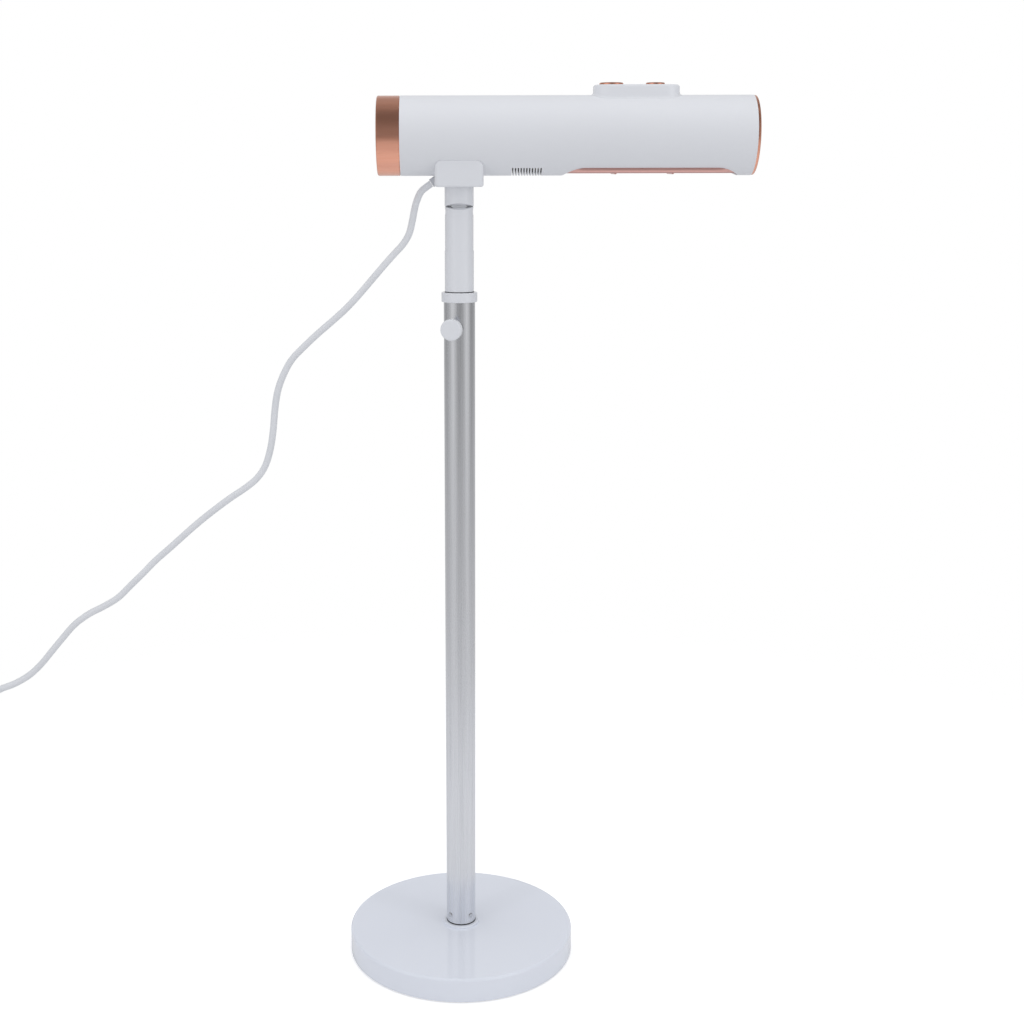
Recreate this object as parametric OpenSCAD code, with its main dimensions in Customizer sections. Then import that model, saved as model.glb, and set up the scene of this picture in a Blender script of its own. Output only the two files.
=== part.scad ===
// Hands-free stand hair dryer: a cylindrical blower head on a telescopic pole with a round
// weighted base. Millimetres, +Z up. The origin is on the pole's axis, on the surface that the
// base stands on. The head's barrel lies along X, with its controls on top and its air outlet
// underneath.

/* [Base] */
// Radius of the base cover
base_r = 108; // [98:1:130]
// Height of the cover's edge above the floor
base_edge_h = 24; // [22:1:32]
// Rise of the cover's top from its edge to its middle
base_crown = 1.4; // [0.4:0.2:2]
// Radius of the cover's rounded top edge
base_round = 2.4; // [1:0.2:4]
// Wall of the base cover
cover_wall = 2.5; // [1.6:0.1:3.4]
// Thickness of the foam foot pad
pad_t = 1.5; // [1:0.5:4]
// Thickness of the steel bottom plate
plate_t = 2; // [1.2:0.2:3]
// Distance of the bottom screws from the axis
base_screw_r = 82; // [60:1:88]
// Width of the bezel ring around the tube's foot
bezel_ring_w = 3.4; // [2:0.2:6]
// Height of the bezel ring above the cover
bezel_ring_h = 2.4; // [1:0.2:4]

/* [Pole] */
// Outside diameter of the outer tube
tube_od = 28; // [25:0.5:32]
// Wall of the outer tube
tube_wall = 1; // [0.8:0.1:1.5]
// Wall of the inner tube
inner_wall = 1; // [0.8:0.1:1.5]
// Height of the collar's underside above the floor
collar_z = 631.5; // [560:0.5:760]
// Height of the collar
collar_h = 8.6; // [7:0.2:16]
// Thickness of the collar around the outer tube
collar_wall = 2; // [1.4:0.1:4]
// Length of inner tube that shows above the collar at rest
inner_show = 36.4; // [32:0.1:60]
// Length of the inner tube
inner_len = 410; // [380:5:430]
// Height of the foot screws above the floor
foot_screw_z = 36.4; // [32:0.1:46]
// Diameter of the foot screws' heads
foot_screw_d = 5; // [4:0.5:7]

/* [Clamp] */
// Distance of the clamp knob's axis below the collar
clamp_drop = 22.3; // [18:0.1:60]
// Turn of the clamp knob's axis from the front towards the left
clamp_turn = 15; // [0:1:40]
// Diameter of the clamp knob
knob_d = 19; // [16:0.5:30]
// Length of the clamp knob
knob_len = 14; // [10:0.5:24]
// Diameter of the clamp screw
clamp_screw_d = 5; // [4:0.5:6]

/* [Hinge] */
// Diameter of the lower hinge fitting
fitting_d = 25.2; // [23.6:0.1:25.2]
// Height of the fitting's sides above the inner tube
fitting_h = 26.6; // [24:0.1:40]
// Radius of the trough in the fitting's top
trough_r = 22; // [20:0.5:30]
// Diameter of the knuckle
knuckle_d = 25.2; // [24:0.1:26]
// Height of the hinge pin above the fitting's sides
pin_rise = 7.4; // [7:0.1:9]
// Diameter of the hinge pin
pin_d = 4; // [3:0.5:5]
// Radius of the hinge's rounded cheeks and tongue
cheek_r = 6.2; // [5.6:0.1:6.6]
// Width of the neck's tongue
tongue_w = 12; // [7:0.2:12.4]
// Diameter of the neck
neck_d = 25.6; // [24:0.1:28]
// Height of the neck from its lowest edge to the saddle block
neck_h = 16.8; // [12:0.1:30]

/* [Saddle] */
// Length of the saddle block along the barrel
block_l = 42.4; // [38:0.2:60]
// Width of the saddle block across the barrel
block_w = 54.5; // [44:0.5:60]
// Thickness of the saddle block under the barrel
block_base_t = 9.3; // [9.2:0.1:18]
// Rise of the saddle block's top above the barrel's lowest line
block_rise = 13.2; // [8:0.2:14]
// Radius of the saddle block's upper corners
block_top_round = 6.5; // [3:0.5:8]
// Radius of the saddle block's upright edges
block_round = 4; // [2:0.5:8]

/* [Barrel] */
// Diameter of the barrel
barrel_d = 68; // [66:0.5:76]
// Wall of the barrel
barrel_wall = 2.2; // [1.8:0.1:3]
// Distance of the intake end from the pole's axis
barrel_left = 71; // [70:1:84]
// Distance of the closed end from the pole's axis
barrel_right = 257.4; // [255:0.2:300]
// Length of the intake ring
band_l = 19.4; // [16:0.2:22]
// Width of the groove between the intake ring and the barrel
groove_w = 0.7; // [0.4:0.1:1.5]
// Length of the trim ring at the closed end
trim_l = 2.4; // [1.6:0.2:5]

/* [Outlet] */
// Distance of the outlet frame's near end from the pole's axis
outlet_left = 90; // [90:0.5:97]
// Distance of the outlet frame's far end from the pole's axis
outlet_right = 243.5; // [229:0.5:245]
// Width of the outlet frame across the barrel
outlet_w = 39.6; // [34:0.2:41]
// Width of the outlet frame's rim
frame_w = 2.4; // [1.8:0.1:3.2]
// Height of the outlet frame's flat face above the barrel's lowest line
face_rise = 1.9; // [1.4:0.05:2.4]
// Depth of the grille behind the frame's flat face
grille_depth = 2.2; // [1:0.1:3]
// Distances of the two dividers from the pole's axis
divider_x = [135.4, 185.1];
// Width of a divider
divider_w = 2.2; // [1.6:0.2:4]

/* [Vents] */
// Number of vent slits
vent_count = 11; // [5:1:11]
// Distance of the first vent slit from the pole's axis
vent_x = 46.4; // [40:0.2:56]
// Distance between vent slits
vent_pitch = 2.46; // [2.3:0.01:3]
// Width of a vent slit
vent_w = 1.2; // [0.8:0.1:1.6]
// Length of the vent slits across the barrel
vent_l = 40; // [20:1:44]

/* [Controls] */
// Distance of the pod's near end from the pole's axis
pod_left = 116.3; // [110:0.1:150]
// Length of the pod
pod_l = 75; // [72:0.5:90]
// Width of the pod
pod_w = 27; // [26:0.5:32]
// Height of the pod above the barrel's highest line
pod_h = 8.5; // [8.4:0.1:14]
// Wall of the pod
pod_wall = 1.8; // [1.4:0.1:2]
// Diameter of the power button's bezel
power_bezel_d = 20.7; // [18:0.1:22]
// Diameter of the mode button's bezel
mode_bezel_d = 16.4; // [13:0.1:18]
// Width of the bezels' rims
bezel_w = 2; // [1.2:0.1:3]
// Height of the bezels above the pod
bezel_h = 1.8; // [1:0.1:3]
// Distance that the buttons travel
button_travel = 1.2; // [0.6:0.1:1.5]

/* [Cord] */
// Diameter of the power cord
cord_d = 6.3; // [5.6:0.1:6.6]
// Radius of the coil's outer turn, at the middle of the cord
coil_r = 39.2; // [38:0.2:44]
// Thickness of the band that ties the coil
tie_t = 1; // [0.6:0.1:1.1]
// Width of the band that ties the coil
tie_w = 9; // [5:0.5:14]
// Width of the plug's body
plug_w = 36; // [30:1:40]
// Thickness of the plug's body
plug_t = 22; // [18:0.5:22]
// Length of the plug's body
plug_l = 30; // [24:1:40]

/* [Hidden] */
$fn = 96;

// Colours
matt_white = "#eef0f2";
gloss_white = "#f4f5f7";
rose_gold = "#c98f82";
brushed = "#b9bcc0";
steel = "#8f959b";
dark = "#3a3c40";
iron = "#55585c";
mica = "#b8a888";

// Clearances: sliding round fits, turning round fits, pieces laid side by side, moving pieces
slide_gap = 0.08;
turn_gap = 0.05;
lay_gap = 0.3;
eps = 0.01;
over = 1;

// Base, from the floor up
plate_z = pad_t;
weight_z = plate_z + plate_t;
flange_t = 3.5;
cover_top = base_edge_h + base_crown;
flange_z = cover_top - cover_wall - lay_gap - flange_t;
tube_foot = flange_z + flange_t;
skirt_z = pad_t - lay_gap;
pad_inset = 2.5;
hub_margin = 2;
hub_flat_r = tube_od / 2 + bezel_ring_w + hub_margin;
weight_gap = 3;
weight_r = base_r - cover_wall - weight_gap;
boss_r = 5;
base_screw_d = 4;
base_screw_head_r = 3.6;
screw_roof = 4;
screw_tip_gap = 2;
base_screw_l = cover_top - cover_wall - screw_roof - plate_z;
flange_r = 30;
bolt_d = 10;
bolt_head_r = 8.5;
bolt_head_t = 6.4;
washer_t = 2;
washer_r = 10.5;
pocket_r = 12;
pocket_h = 9.4;
bolt_seat = weight_z + pocket_h - washer_t;
bolt_roof = 8.5;
bolt_tip_gap = 5;
bezel_ring_round = 1;

// Pole
tube_r = tube_od / 2;
bore_r = tube_r - tube_wall;
inner_r = bore_r - slide_gap;
inner_bore_r = inner_r - inner_wall;
collar_lip = 4;
collar_top = collar_z + collar_h;
tube_top = collar_top - collar_lip;
inner_top = collar_top + inner_show;
inner_foot = inner_top - inner_len;
collar_round = 0.7;
spigot_h = 38;
bolt_bore_top = tube_foot + spigot_h - bolt_roof;
foot_screw_turn = -3;
foot_head_h = 0.7;
foot_head_in = 1;
foot_head_round = 0.6;
foot_shank_r = 1.5;
foot_shank_in = 8.5;
glide_rim = 6;
glide_plug_l = 22;
glide_floor = 2;
glide_wall = 3;

// Clamp, measured outwards from the pole's axis
clamp_z = collar_z - clamp_drop;
nut_r = 7;
nut_neck_r = 4.5;
nut_proud = 2;
nut_in = 3;
nut_neck_in = 5;
nut_neck_l = 5.5;
nut_end = tube_r + nut_proud;
clamp_pad_l = 2;
pad_end = inner_r + turn_gap + clamp_pad_l;
knob_gap = 0.8;
knob_start = nut_end + knob_gap;
knob_end = knob_start + knob_len;
knob_face_t = 3;
knob_lip = 3.4;
clamp_screw_end = knob_end - knob_face_t;
knob_round = 1.6;
knob_head_t = 6;
knob_hub_r = knob_d / 2 - knob_lip;

// Hinge
fitting_side = inner_top + fitting_h;
trough_z = fitting_side + trough_r;
pin_z = fitting_side + pin_rise;
knuckle_top_rise = 4.2;
knuckle_crown_r = 34;
neck_gap = 0.5;
neck_rise = knuckle_top_rise + neck_gap;
neck_arch_r = 30;
hinge_gap = 0.3;
washer_gap = 0.5;
hinge_washer_r = neck_rise - hinge_gap;
tongue_sink = 2;
cheek_x = tongue_w / 2 + washer_gap;
pin_seat_x = 9.8;
pin_head_r = 3.4;
pin_head_t = 1.6;
hinge_screw_x = 8.6;
hinge_screw_d = 2.5;
hinge_screw_head_r = 2.5;
hinge_screw_head_t = 2.4;
hinge_screw_tip_gap = 0.5;
hinge_screw_top = pin_z - pin_head_r - hinge_screw_tip_gap;
screw_hole_gap = 0.2;
hinge_web = 11;
hinge_core_r = 4.4;
fitting_spigot_l = 33;
pocket_spread = 2.2;

// Saddle, neck and barrel heights
neck_z = pin_z + neck_rise;
block_z = neck_z + neck_h;
barrel_r = barrel_d / 2;
barrel_in = barrel_r - barrel_wall;
axis_z = block_z + block_base_t + barrel_r;
block_top = axis_z - barrel_r + block_rise;
spigot_r = 9;
neck_spigot_h = 6.5;
neck_screw_r = 3;
neck_head_r = 5;
neck_head_t = 4;
clamp_plate_x = 9;
clamp_plate_y = 10;
clamp_plate_t = 4;
clamp_plate_top = axis_z - barrel_in + clamp_plate_t;
neck_screw_tip = 0.8;
neck_screw_z = neck_z + neck_screw_tip;
block_lower_round = 2;
grommet_out = 3;
exit_rise = 2.8;
lead_turn = 35;
exit_x = -block_l / 2 - grommet_out;
exit_z = block_z + exit_rise;
lead_x = -14;
lead_run = (lead_x - exit_x) / cos(lead_turn);
lead_slot_in = 2;
grommet_r = 3.9;
grommet_wall = 0.5;
grommet_l = 8;

// Inside the barrel, along X
shell_left = -barrel_left + band_l + groove_w;
band_chamfer = 0.8;
sleeve_in = 3;
sleeve_out = 4;
ring_count = 7;
ring_w = 1.6;
intake_grille_t = 2;
spoke_turn = 45;
filter_inset = 4.2;
filter_t = 0.6;
filter_rim_w = 2.4;
filter_overlap = 1.5;
fan_x = shell_left + sleeve_out;
fan_l = 27;
fan_ring_t = 1.5;
fan_hub_r = 8;
fan_hub_l = 5;
vane_count = 7;
vane_t = 1.6;
vane_root = 0.5;
vane_drop = 0.5;
hub_x = fan_x + fan_l;
motor_r = 15;
motor_l = 33;
motor_step_r = 4;
motor_step_l = 3;
motor_back_t = 5;
lead_end_gap = 2.5;
lead_top = axis_z - motor_r - lead_end_gap;
shaft_r = 1.5;
shaft_tip_gap = 2;
tip_gap = 0.6;
impeller_r = barrel_in - fan_ring_t - tip_gap;
impeller_l = 16;
impeller_x = fan_x + 3;
shaft_x = impeller_x - 1;
blade_count = 9;
blade_turn = 38;
blade_t = 1.4;
blade_root = 4;

// Heater, along X
shield_x = 20;
shield_l = 67;
shield_gap = 5;
shield_r = barrel_in - shield_gap;
shield_rim_t = 1.2;
sheet_t = 0.8;
heater_inset = 2;
heater_r = 19.3;
air_hole_r = 7;
air_hole_at = 16;
winding_r = 0.6;
winding_turns = 10;
winding_start = 8;
winding_end = 10;
thermostat_size = [4, 10, 8];
fuse_r = 2;
fuse_l = 11;
fuse_rise = 6.6;

// Air guide: it lines the barrel's sides, from guide_low below the axis to guide_top above it
guide_x = outlet_left + 2;
guide_end = outlet_right + 4;
guide_t = 1.4;
guide_low = 8;
guide_top = barrel_in - 10;
guide_vane_count = 4;
guide_vane_low = 14;
guide_vane_top = 10;

// Closed end
cap_t = 1.8;
cap_plug_l = 4;
cap_plug_wall = 1.6;
trim_inset = 0.2;
trim_w = 2;
trim_round = 0.9;

// Outlet, upwards from the frame's flat face
outlet_face = axis_z - barrel_r + face_rise;
frame_h = 9;
frame_round = 0.8;
frame_ledge = 1.2;
frame_fit = 0.15;
frame_flange_w = 2.5;
frame_flange_t = 1.2;
grille_z = outlet_face + grille_depth;
grille_t = 1.2;
grille_margin = 4;
grille_spine = 3;
slit_pitch = 5;
slit_w = 2.8;
divider_proud = 0.9;

// Controls
pod_z = axis_z + barrel_r + pod_h;
pod_round = 2;
pod_x = pod_left + pod_l / 2;
power_inset = 2.2;
mode_inset = 7.7;
power_x = pod_left + pod_w / 2 + power_inset;
mode_x = pod_left + pod_l - pod_w / 2 - mode_inset;
post_r = 2.4;
post_end = 7;
post_xs = [(power_x + power_bezel_d / 2 + mode_x - mode_bezel_d / 2) / 2,
  pod_left + pod_l - post_end];
wire_offset = 9;
wire_x = post_xs[0] + wire_offset;
wire_hole_r = 3;
button_gap = 0.1;
button_lip = 0.8;
button_lip_t = 0.8;
button_dome = 0.5;
button_sink = 0.2;
bezel_round = 0.8;
board_t = 1.6;
board_w = 15;
board_end_gap = 2;
board_round = 6;
switch_w = 6;
switch_h = 1;
board_top = pod_z - pod_wall - 2 * lay_gap - button_lip_t - button_travel - switch_h;
post_foot = 1;
post_roof = 1.5;
pod_screw_r = 1.2;
pod_screw_head_r = 2.5;
pod_screw_head_t = 2;
pod_screw_tip_gap = 0.5;

// The cord starts this far outside the lead's end, which tilts with the head
cord_gap = 0.45;

// Power cord: it leaves the saddle block, hangs beside the pole and ends on the floor. The
// first two points are at its exit, and these are the others.
cord_r = cord_d / 2;
cord_sides = 8;
cord_straight = 6.5;
cord_x = -483;
cord_route = [[-33.8, 0, 727.2], [-37.2, 0, 720], [-39.5, 0, 712], [-41.5, 0, 702],
  [-44.5, 0, 691], [-50, 0, 682], [-58, 0, 673.5], [-68, 0, 662.5], [-78.5, 0, 650.5],
  [-89.5, 0, 638], [-101.5, 0, 625.5], [-114.5, 0, 614], [-127.5, 0, 603], [-140.5, 0, 591],
  [-151.5, 0, 579.5], [-159.5, 0, 565.5], [-165, 0, 550.5], [-168, 0, 533.5], [-170, 0, 515.5],
  [-173, 0, 498.5], [-178, 0, 483], [-186, 0, 471], [-197.5, 0, 461.5], [-211, 0, 452.5],
  [-226, 0, 441.5], [-240, 0, 430.5], [-254, 0, 418.5], [-268, 0, 406], [-282.5, 0, 393.5],
  [-295.5, 0, 380.5], [-308, 0, 368.5], [-320, 0, 357], [-334, 0, 348.5], [-348.5, 0, 341],
  [-362, 0, 331], [-373, 0, 319], [-384.5, 0, 305.5], [-396, 0, 292], [-408, 0, 281],
  [-422.5, 0, 272.5], [-438, 1, 266], [-447, 3, 258], [-458, 7, 246], [-467, 12, 231],
  [-473, 17, 214], [-477, 22, 196], [-480, 26, 178], [-482, 30, 160], [cord_x, 33, 142],
  [cord_x, 35, 124], [cord_x, 36, 106], [cord_x, 36.5, 88], [cord_x, 36.5, 70],
  [cord_x, 36.5, 52], [cord_x, 36, 35], [cord_x, 33.5, 23.5], [cord_x, 27, 13.5],
  [cord_x, 17.5, 7], [cord_x, 7, 4.55], [cord_x, -1, 4.55]];

// Coil: two turns in and two out, in two layers, with its band at the far side
coil_turns = 4;
coil_steps = 24;
coil_sides = 6;
coil_pitch = cord_d + 0.6;
tie_gap = 0.35;
coil_z = cord_route[len(cord_route) - 1][2];
coil_x = cord_x - coil_r;
coil_y = -13;
coil_end_run = 22;
plug_tail_l = 24;
plug_y = coil_y - coil_end_run - plug_tail_l;
plug_x = coil_x + coil_r;
plug_z = coil_z + coil_pitch;
plug_pin_r = 2.4;
plug_pin_l = 19;
plug_pin_pitch = 19;
plug_pin_in = 12;
plug_round = 7;
plug_neck_l = 8;
plug_neck_inset = 7;
plug_neck_step = 3;
plug_tail_root = 3;
plug_tail_tip = 0.8;
tie_round = 2;

// ---- Shared shapes ----

module tube(r, ri, h) {
  difference() {
    cylinder(r = r, h = h);
    translate([0, 0, -over]) cylinder(r = ri, h = h + 2 * over);
  }
}

// Puts a shape drawn around +Z on the barrel's axis, starting at x
module along_x(x) {
  translate([x, 0, axis_z]) rotate([0, 90, 0]) children();
}

// Puts a shape drawn around +Z on a level line along X at height z
module level_x(x, z, y = 0) {
  translate([x, y, z]) rotate([0, 90, 0]) children();
}

// Puts a shape drawn around +Z on the clamp knob's axis, outwards from the pole
module on_clamp() {
  translate([0, 0, clamp_z]) rotate([0, 0, -clamp_turn]) rotate([90, 0, 0]) children();
}

// A rectangle centred on the origin with round corners
module round_rect(l, w, r) {
  square([l - 2 * r, w], center = true);
  square([l, w - 2 * r], center = true);
  for (x = [-1, 1], y = [-1, 1])
    translate([x * (l / 2 - r), y * (w / 2 - r)]) circle(r = r);
}

// A slot with round ends, from x0 to x1, drawn in from its edge by inset
module slot(x0, x1, w, inset = 0) {
  r = w / 2 - inset;
  translate([x0 + w / 2, -r]) square([x1 - x0 - w, 2 * r]);
  for (x = [x0 + w / 2, x1 - w / 2]) translate([x, 0]) circle(r = r);
}

// A cylinder with its top edge rounded
module soft_disc(r, h, round) {
  rotate_extrude() {
    square([r - round, h]);
    square([r, h - round]);
    translate([r - round, h - round]) intersection() {
      circle(r = round);
      square(round);
    }
  }
}

// A ring with both outer edges rounded
module soft_ring(r, ri, h, round) {
  rotate_extrude() {
    translate([ri, round]) square([r - ri, h - 2 * round]);
    translate([ri, 0]) square([r - ri - round, h]);
    for (z = [round, h - round]) translate([r - round, z]) circle(r = round);
  }
}

// A slot-shaped block with its top edge rounded
module soft_slot(x0, x1, w, h, round) {
  linear_extrude(height = h - round) slot(x0, x1, w);
  linear_extrude(height = h) slot(x0, x1, w, round);
  for (x = [x0 + w / 2, x1 - w / 2])
    translate([x, 0, h - round]) rotate_extrude()
      translate([w / 2 - round, 0]) circle(r = round);
  for (y = [-1, 1])
    translate([x0 + w / 2, y * (w / 2 - round), h - round]) rotate([0, 90, 0])
      cylinder(r = round, h = x1 - x0 - w);
}

// ---- Swept tubes ----

function unit(v) = v / norm(v);

// Direction of a route at point i
function heading(p, i) =
  unit(p[min(i + 1, len(p) - 1)] - p[max(i - 1, 0)]);

// A side direction for every point, turned as little as possible from one to the next
function side_dirs(p, first) = [
  for (i = 0, s = unit(first - heading(p, 0) * (first * heading(p, 0)));
    i < len(p);
    i = i + 1, s = i < len(p) ? unit(s - heading(p, i) * (s * heading(p, i))) : s) s];

// A closed tube of radius r along points p, with flat ends square to the route
module sweep(p, r, sides, first) {
  s = side_dirs(p, first);
  n = len(p);
  rings = [for (i = [0:n - 1], k = [0:sides - 1])
    let (a = 360 * k / sides, u = s[i], v = cross(heading(p, i), s[i]))
      p[i] + r * (cos(a) * u + sin(a) * v)];
  walls = [for (i = [0:n - 2], k = [0:sides - 1])
    let (a = i * sides + k, b = i * sides + (k + 1) % sides)
      each [[a, a + sides, b], [b, a + sides, b + sides]]];
  ends = [for (k = [1:sides - 2])
    each [[0, k, k + 1], [(n - 1) * sides, (n - 1) * sides + k + 1, (n - 1) * sides + k]]];
  polyhedron(points = rings, faces = concat(walls, ends), convexity = 10);
}

// ---- Base ----

module base_screw_places() {
  for (a = [45:90:315]) rotate([0, 0, a]) translate([base_screw_r, 0, 0]) children();
}

module base_cover() color(gloss_white) {
  difference() {
    rotate_extrude($fn = 180) {
      difference() {
        union() {
          translate([0, skirt_z]) square([base_r - base_round, base_edge_h - skirt_z]);
          translate([0, skirt_z]) square([base_r, base_edge_h - skirt_z - base_round]);
          translate([base_r - base_round, base_edge_h - base_round]) circle(r = base_round);
          polygon([[0, base_edge_h - eps], [0, cover_top], [hub_flat_r, cover_top],
            [base_r - base_round, base_edge_h], [base_r - base_round, base_edge_h - eps]]);
        }
        polygon([[-over, skirt_z - over], [base_r - cover_wall, skirt_z - over],
          [base_r - cover_wall, base_edge_h - cover_wall],
          [hub_flat_r, cover_top - cover_wall], [-over, cover_top - cover_wall]]);
      }
    }
    cylinder(r = tube_r + lay_gap, h = cover_top + over);
  }
  difference() {
    base_screw_places() translate([0, 0, weight_z])
      cylinder(r = boss_r, h = base_edge_h - cover_wall / 2 - weight_z);
    base_screw_places() cylinder(r = base_screw_d / 2, h = plate_z + base_screw_l + screw_tip_gap);
  }
}

module base_weight() color(iron) difference() {
  translate([0, 0, weight_z]) cylinder(r = weight_r, h = flange_z - weight_z, $fn = 180);
  cylinder(r = bolt_d / 2 + lay_gap, h = flange_z + over);
  translate([0, 0, weight_z - over]) cylinder(r = pocket_r, h = pocket_h + over);
  base_screw_places() cylinder(r = boss_r + lay_gap, h = flange_z + over);
}

// A bottom screw with its head sunk by half of the plate, drawn down from its head by below
module base_screw(below, l) {
  translate([0, 0, plate_z - below]) cylinder(r = base_screw_head_r, h = plate_t / 2 + below);
  translate([0, 0, plate_z]) cylinder(r = base_screw_d / 2, h = l);
}

module base_plate() color(steel) difference() {
  translate([0, 0, plate_z]) cylinder(r = base_r - cover_wall - lay_gap, h = plate_t, $fn = 180);
  base_screw_places() base_screw(over, plate_t + over);
}

module base_pad() color(dark)
  cylinder(r = base_r - cover_wall - pad_inset, h = pad_t, $fn = 180);

module base_screws() color(steel) base_screw_places() base_screw(0, base_screw_l);

// ---- Foot of the pole ----

module foot_screw_places() {
  for (a = [-135:90:135])
    translate([0, 0, foot_screw_z]) rotate([0, 0, a + foot_screw_turn]) rotate([90, 0, 0])
      children();
}

module pole_spigot() color(steel) difference() {
  union() {
    translate([0, 0, flange_z]) cylinder(r = flange_r, h = flange_t);
    translate([0, 0, tube_foot - eps]) cylinder(r = bore_r - turn_gap, h = spigot_h + eps);
  }
  translate([0, 0, flange_z - over]) cylinder(r = bolt_d / 2, h = bolt_bore_top - flange_z + over);
  foot_screw_places() translate([0, 0, foot_shank_in]) cylinder(r = foot_shank_r, h = tube_r);
}

module spigot_bolt() color(steel) translate([0, 0, bolt_seat]) {
  translate([0, 0, -bolt_head_t]) cylinder(r = bolt_head_r, h = bolt_head_t, $fn = 6);
  cylinder(r = washer_r, h = washer_t);
  cylinder(r = bolt_d / 2, h = bolt_bore_top - bolt_tip_gap - bolt_seat);
}

module pole_bezel() color(gloss_white) translate([0, 0, cover_top])
  difference() {
    soft_disc(tube_r + bezel_ring_w, bezel_ring_h, bezel_ring_round);
    translate([0, 0, -over]) cylinder(r = tube_r + lay_gap / 2, h = bezel_ring_h + 2 * over);
  }

module pole_screws() color(steel) foot_screw_places() {
  translate([0, 0, foot_shank_in + lay_gap])
    cylinder(r = foot_shank_r, h = tube_r - foot_shank_in - lay_gap);
  difference() {
    translate([0, 0, tube_r - foot_head_in])
      soft_disc(foot_screw_d / 2, foot_head_in + foot_head_h, foot_head_round);
    rotate([-90, 0, 0]) translate([0, 0, -tube_r]) cylinder(r = tube_r, h = tube_od);
  }
}

// ---- Tubes ----

module outer_tube() color(brushed) difference() {
  translate([0, 0, tube_foot]) tube(tube_r, bore_r, tube_top - tube_foot);
  foot_screw_places() cylinder(r = foot_shank_r, h = tube_od);
  on_clamp() cylinder(r = nut_neck_r, h = tube_od);
}

module collar() color(gloss_white) difference() {
  translate([0, 0, collar_z]) soft_ring(tube_r + collar_wall, inner_r - over, collar_h, collar_round);
  translate([0, 0, collar_z - over]) cylinder(r = tube_r, h = tube_top - collar_z + over);
  translate([0, 0, collar_z]) cylinder(r = inner_r + slide_gap, h = collar_h + over);
}

module glide_plug() color(dark) difference() {
  union() {
    translate([0, 0, inner_foot - glide_rim]) cylinder(r = inner_r, h = glide_rim);
    translate([0, 0, inner_foot - eps]) cylinder(r = inner_bore_r - turn_gap, h = glide_plug_l);
  }
  translate([0, 0, inner_foot - glide_rim + glide_floor])
    cylinder(r = inner_bore_r - glide_wall, h = glide_plug_l + glide_rim);
}

module inner_tube() color(gloss_white)
  translate([0, 0, inner_foot]) tube(inner_r, inner_bore_r, inner_len);

// ---- Clamp ----

module clamp_nut() color(steel) on_clamp() difference() {
  union() {
    difference() {
      translate([0, 0, tube_r - nut_in]) cylinder(r = nut_r, h = nut_end - tube_r + nut_in);
      rotate([-90, 0, 0]) translate([0, 0, -tube_r]) cylinder(r = tube_r, h = tube_od);
    }
    difference() {
      translate([0, 0, tube_r - nut_neck_in]) cylinder(r = nut_neck_r, h = nut_neck_l);
      rotate([-90, 0, 0]) translate([0, 0, -tube_r]) cylinder(r = bore_r, h = tube_od);
    }
  }
  cylinder(r = clamp_screw_d / 2, h = tube_od);
}

module clamp_pad() color(dark) on_clamp() difference() {
  translate([0, 0, inner_r - over]) cylinder(r = clamp_screw_d / 2 - 2 * turn_gap,
    h = pad_end - inner_r + over);
  rotate([-90, 0, 0]) translate([0, 0, -tube_r]) cylinder(r = inner_r + turn_gap, h = tube_od);
}

module clamp_screw() color(steel) on_clamp() translate([0, 0, pad_end])
  cylinder(r = clamp_screw_d / 2 - turn_gap, h = clamp_screw_end - pad_end);

module clamp_knob() color(gloss_white) on_clamp() difference() {
  union() {
    translate([0, 0, knob_start]) cylinder(r = knob_hub_r, h = knob_len - knob_head_t / 2);
    translate([0, 0, knob_end - knob_head_t]) soft_disc(knob_d / 2, knob_head_t, knob_round);
  }
  translate([0, 0, knob_start - over])
    cylinder(r = clamp_screw_d / 2 - turn_gap, h = clamp_screw_end - knob_start + over);
}

// ---- Hinge ----

module hinge_screw_places() {
  for (x = [-1, 1]) translate([x * hinge_screw_x, 0, 0]) children();
}

module hinge_fitting() color(gloss_white) difference() {
  union() {
    translate([0, 0, inner_top - fitting_spigot_l])
      cylinder(r = inner_bore_r, h = fitting_spigot_l + eps);
    translate([0, 0, inner_top]) cylinder(r = fitting_d / 2, h = fitting_h + trough_r);
  }
  level_x(-neck_d, trough_z) cylinder(r = trough_r, h = 2 * neck_d);
  hinge_screw_places() cylinder(r = hinge_screw_head_r + screw_hole_gap, h = fitting_side - hinge_web);
  hinge_screw_places() cylinder(r = hinge_screw_d / 2, h = trough_z);
  cylinder(r = hinge_core_r, h = fitting_side - hinge_web);
}

module hinge_knuckle() color(matt_white) difference() {
  intersection() {
    translate([0, 0, fitting_side - over]) cylinder(r = knuckle_d / 2, h = trough_r);
    level_x(-neck_d, trough_z) cylinder(r = trough_r, h = 2 * neck_d);
    level_x(-neck_d, pin_z + knuckle_top_rise - knuckle_crown_r)
      cylinder(r = knuckle_crown_r, h = 2 * neck_d);
  }
  level_x(-cheek_x, pin_z) cylinder(r = cheek_r + hinge_gap, h = 2 * cheek_x);
  translate([-cheek_x, -cheek_r - pocket_spread, pin_z])
    cube([2 * cheek_x, 2 * (cheek_r + pocket_spread), neck_d]);
  level_x(-neck_d, pin_z) cylinder(r = pin_d / 2, h = 2 * neck_d);
  for (x = [-neck_d - pin_seat_x, pin_seat_x])
    level_x(x, pin_z) cylinder(r = pin_head_r, h = neck_d);
  hinge_screw_places() cylinder(r = hinge_screw_d / 2, h = hinge_screw_top + lay_gap);
}

module hinge_screws() color(steel) {
  head_z = fitting_side - hinge_web - hinge_screw_head_t;
  hinge_screw_places() translate([0, 0, head_z]) {
    cylinder(r = hinge_screw_head_r, h = hinge_screw_head_t);
    cylinder(r = hinge_screw_d / 2, h = hinge_screw_top - head_z);
  }
}

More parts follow.
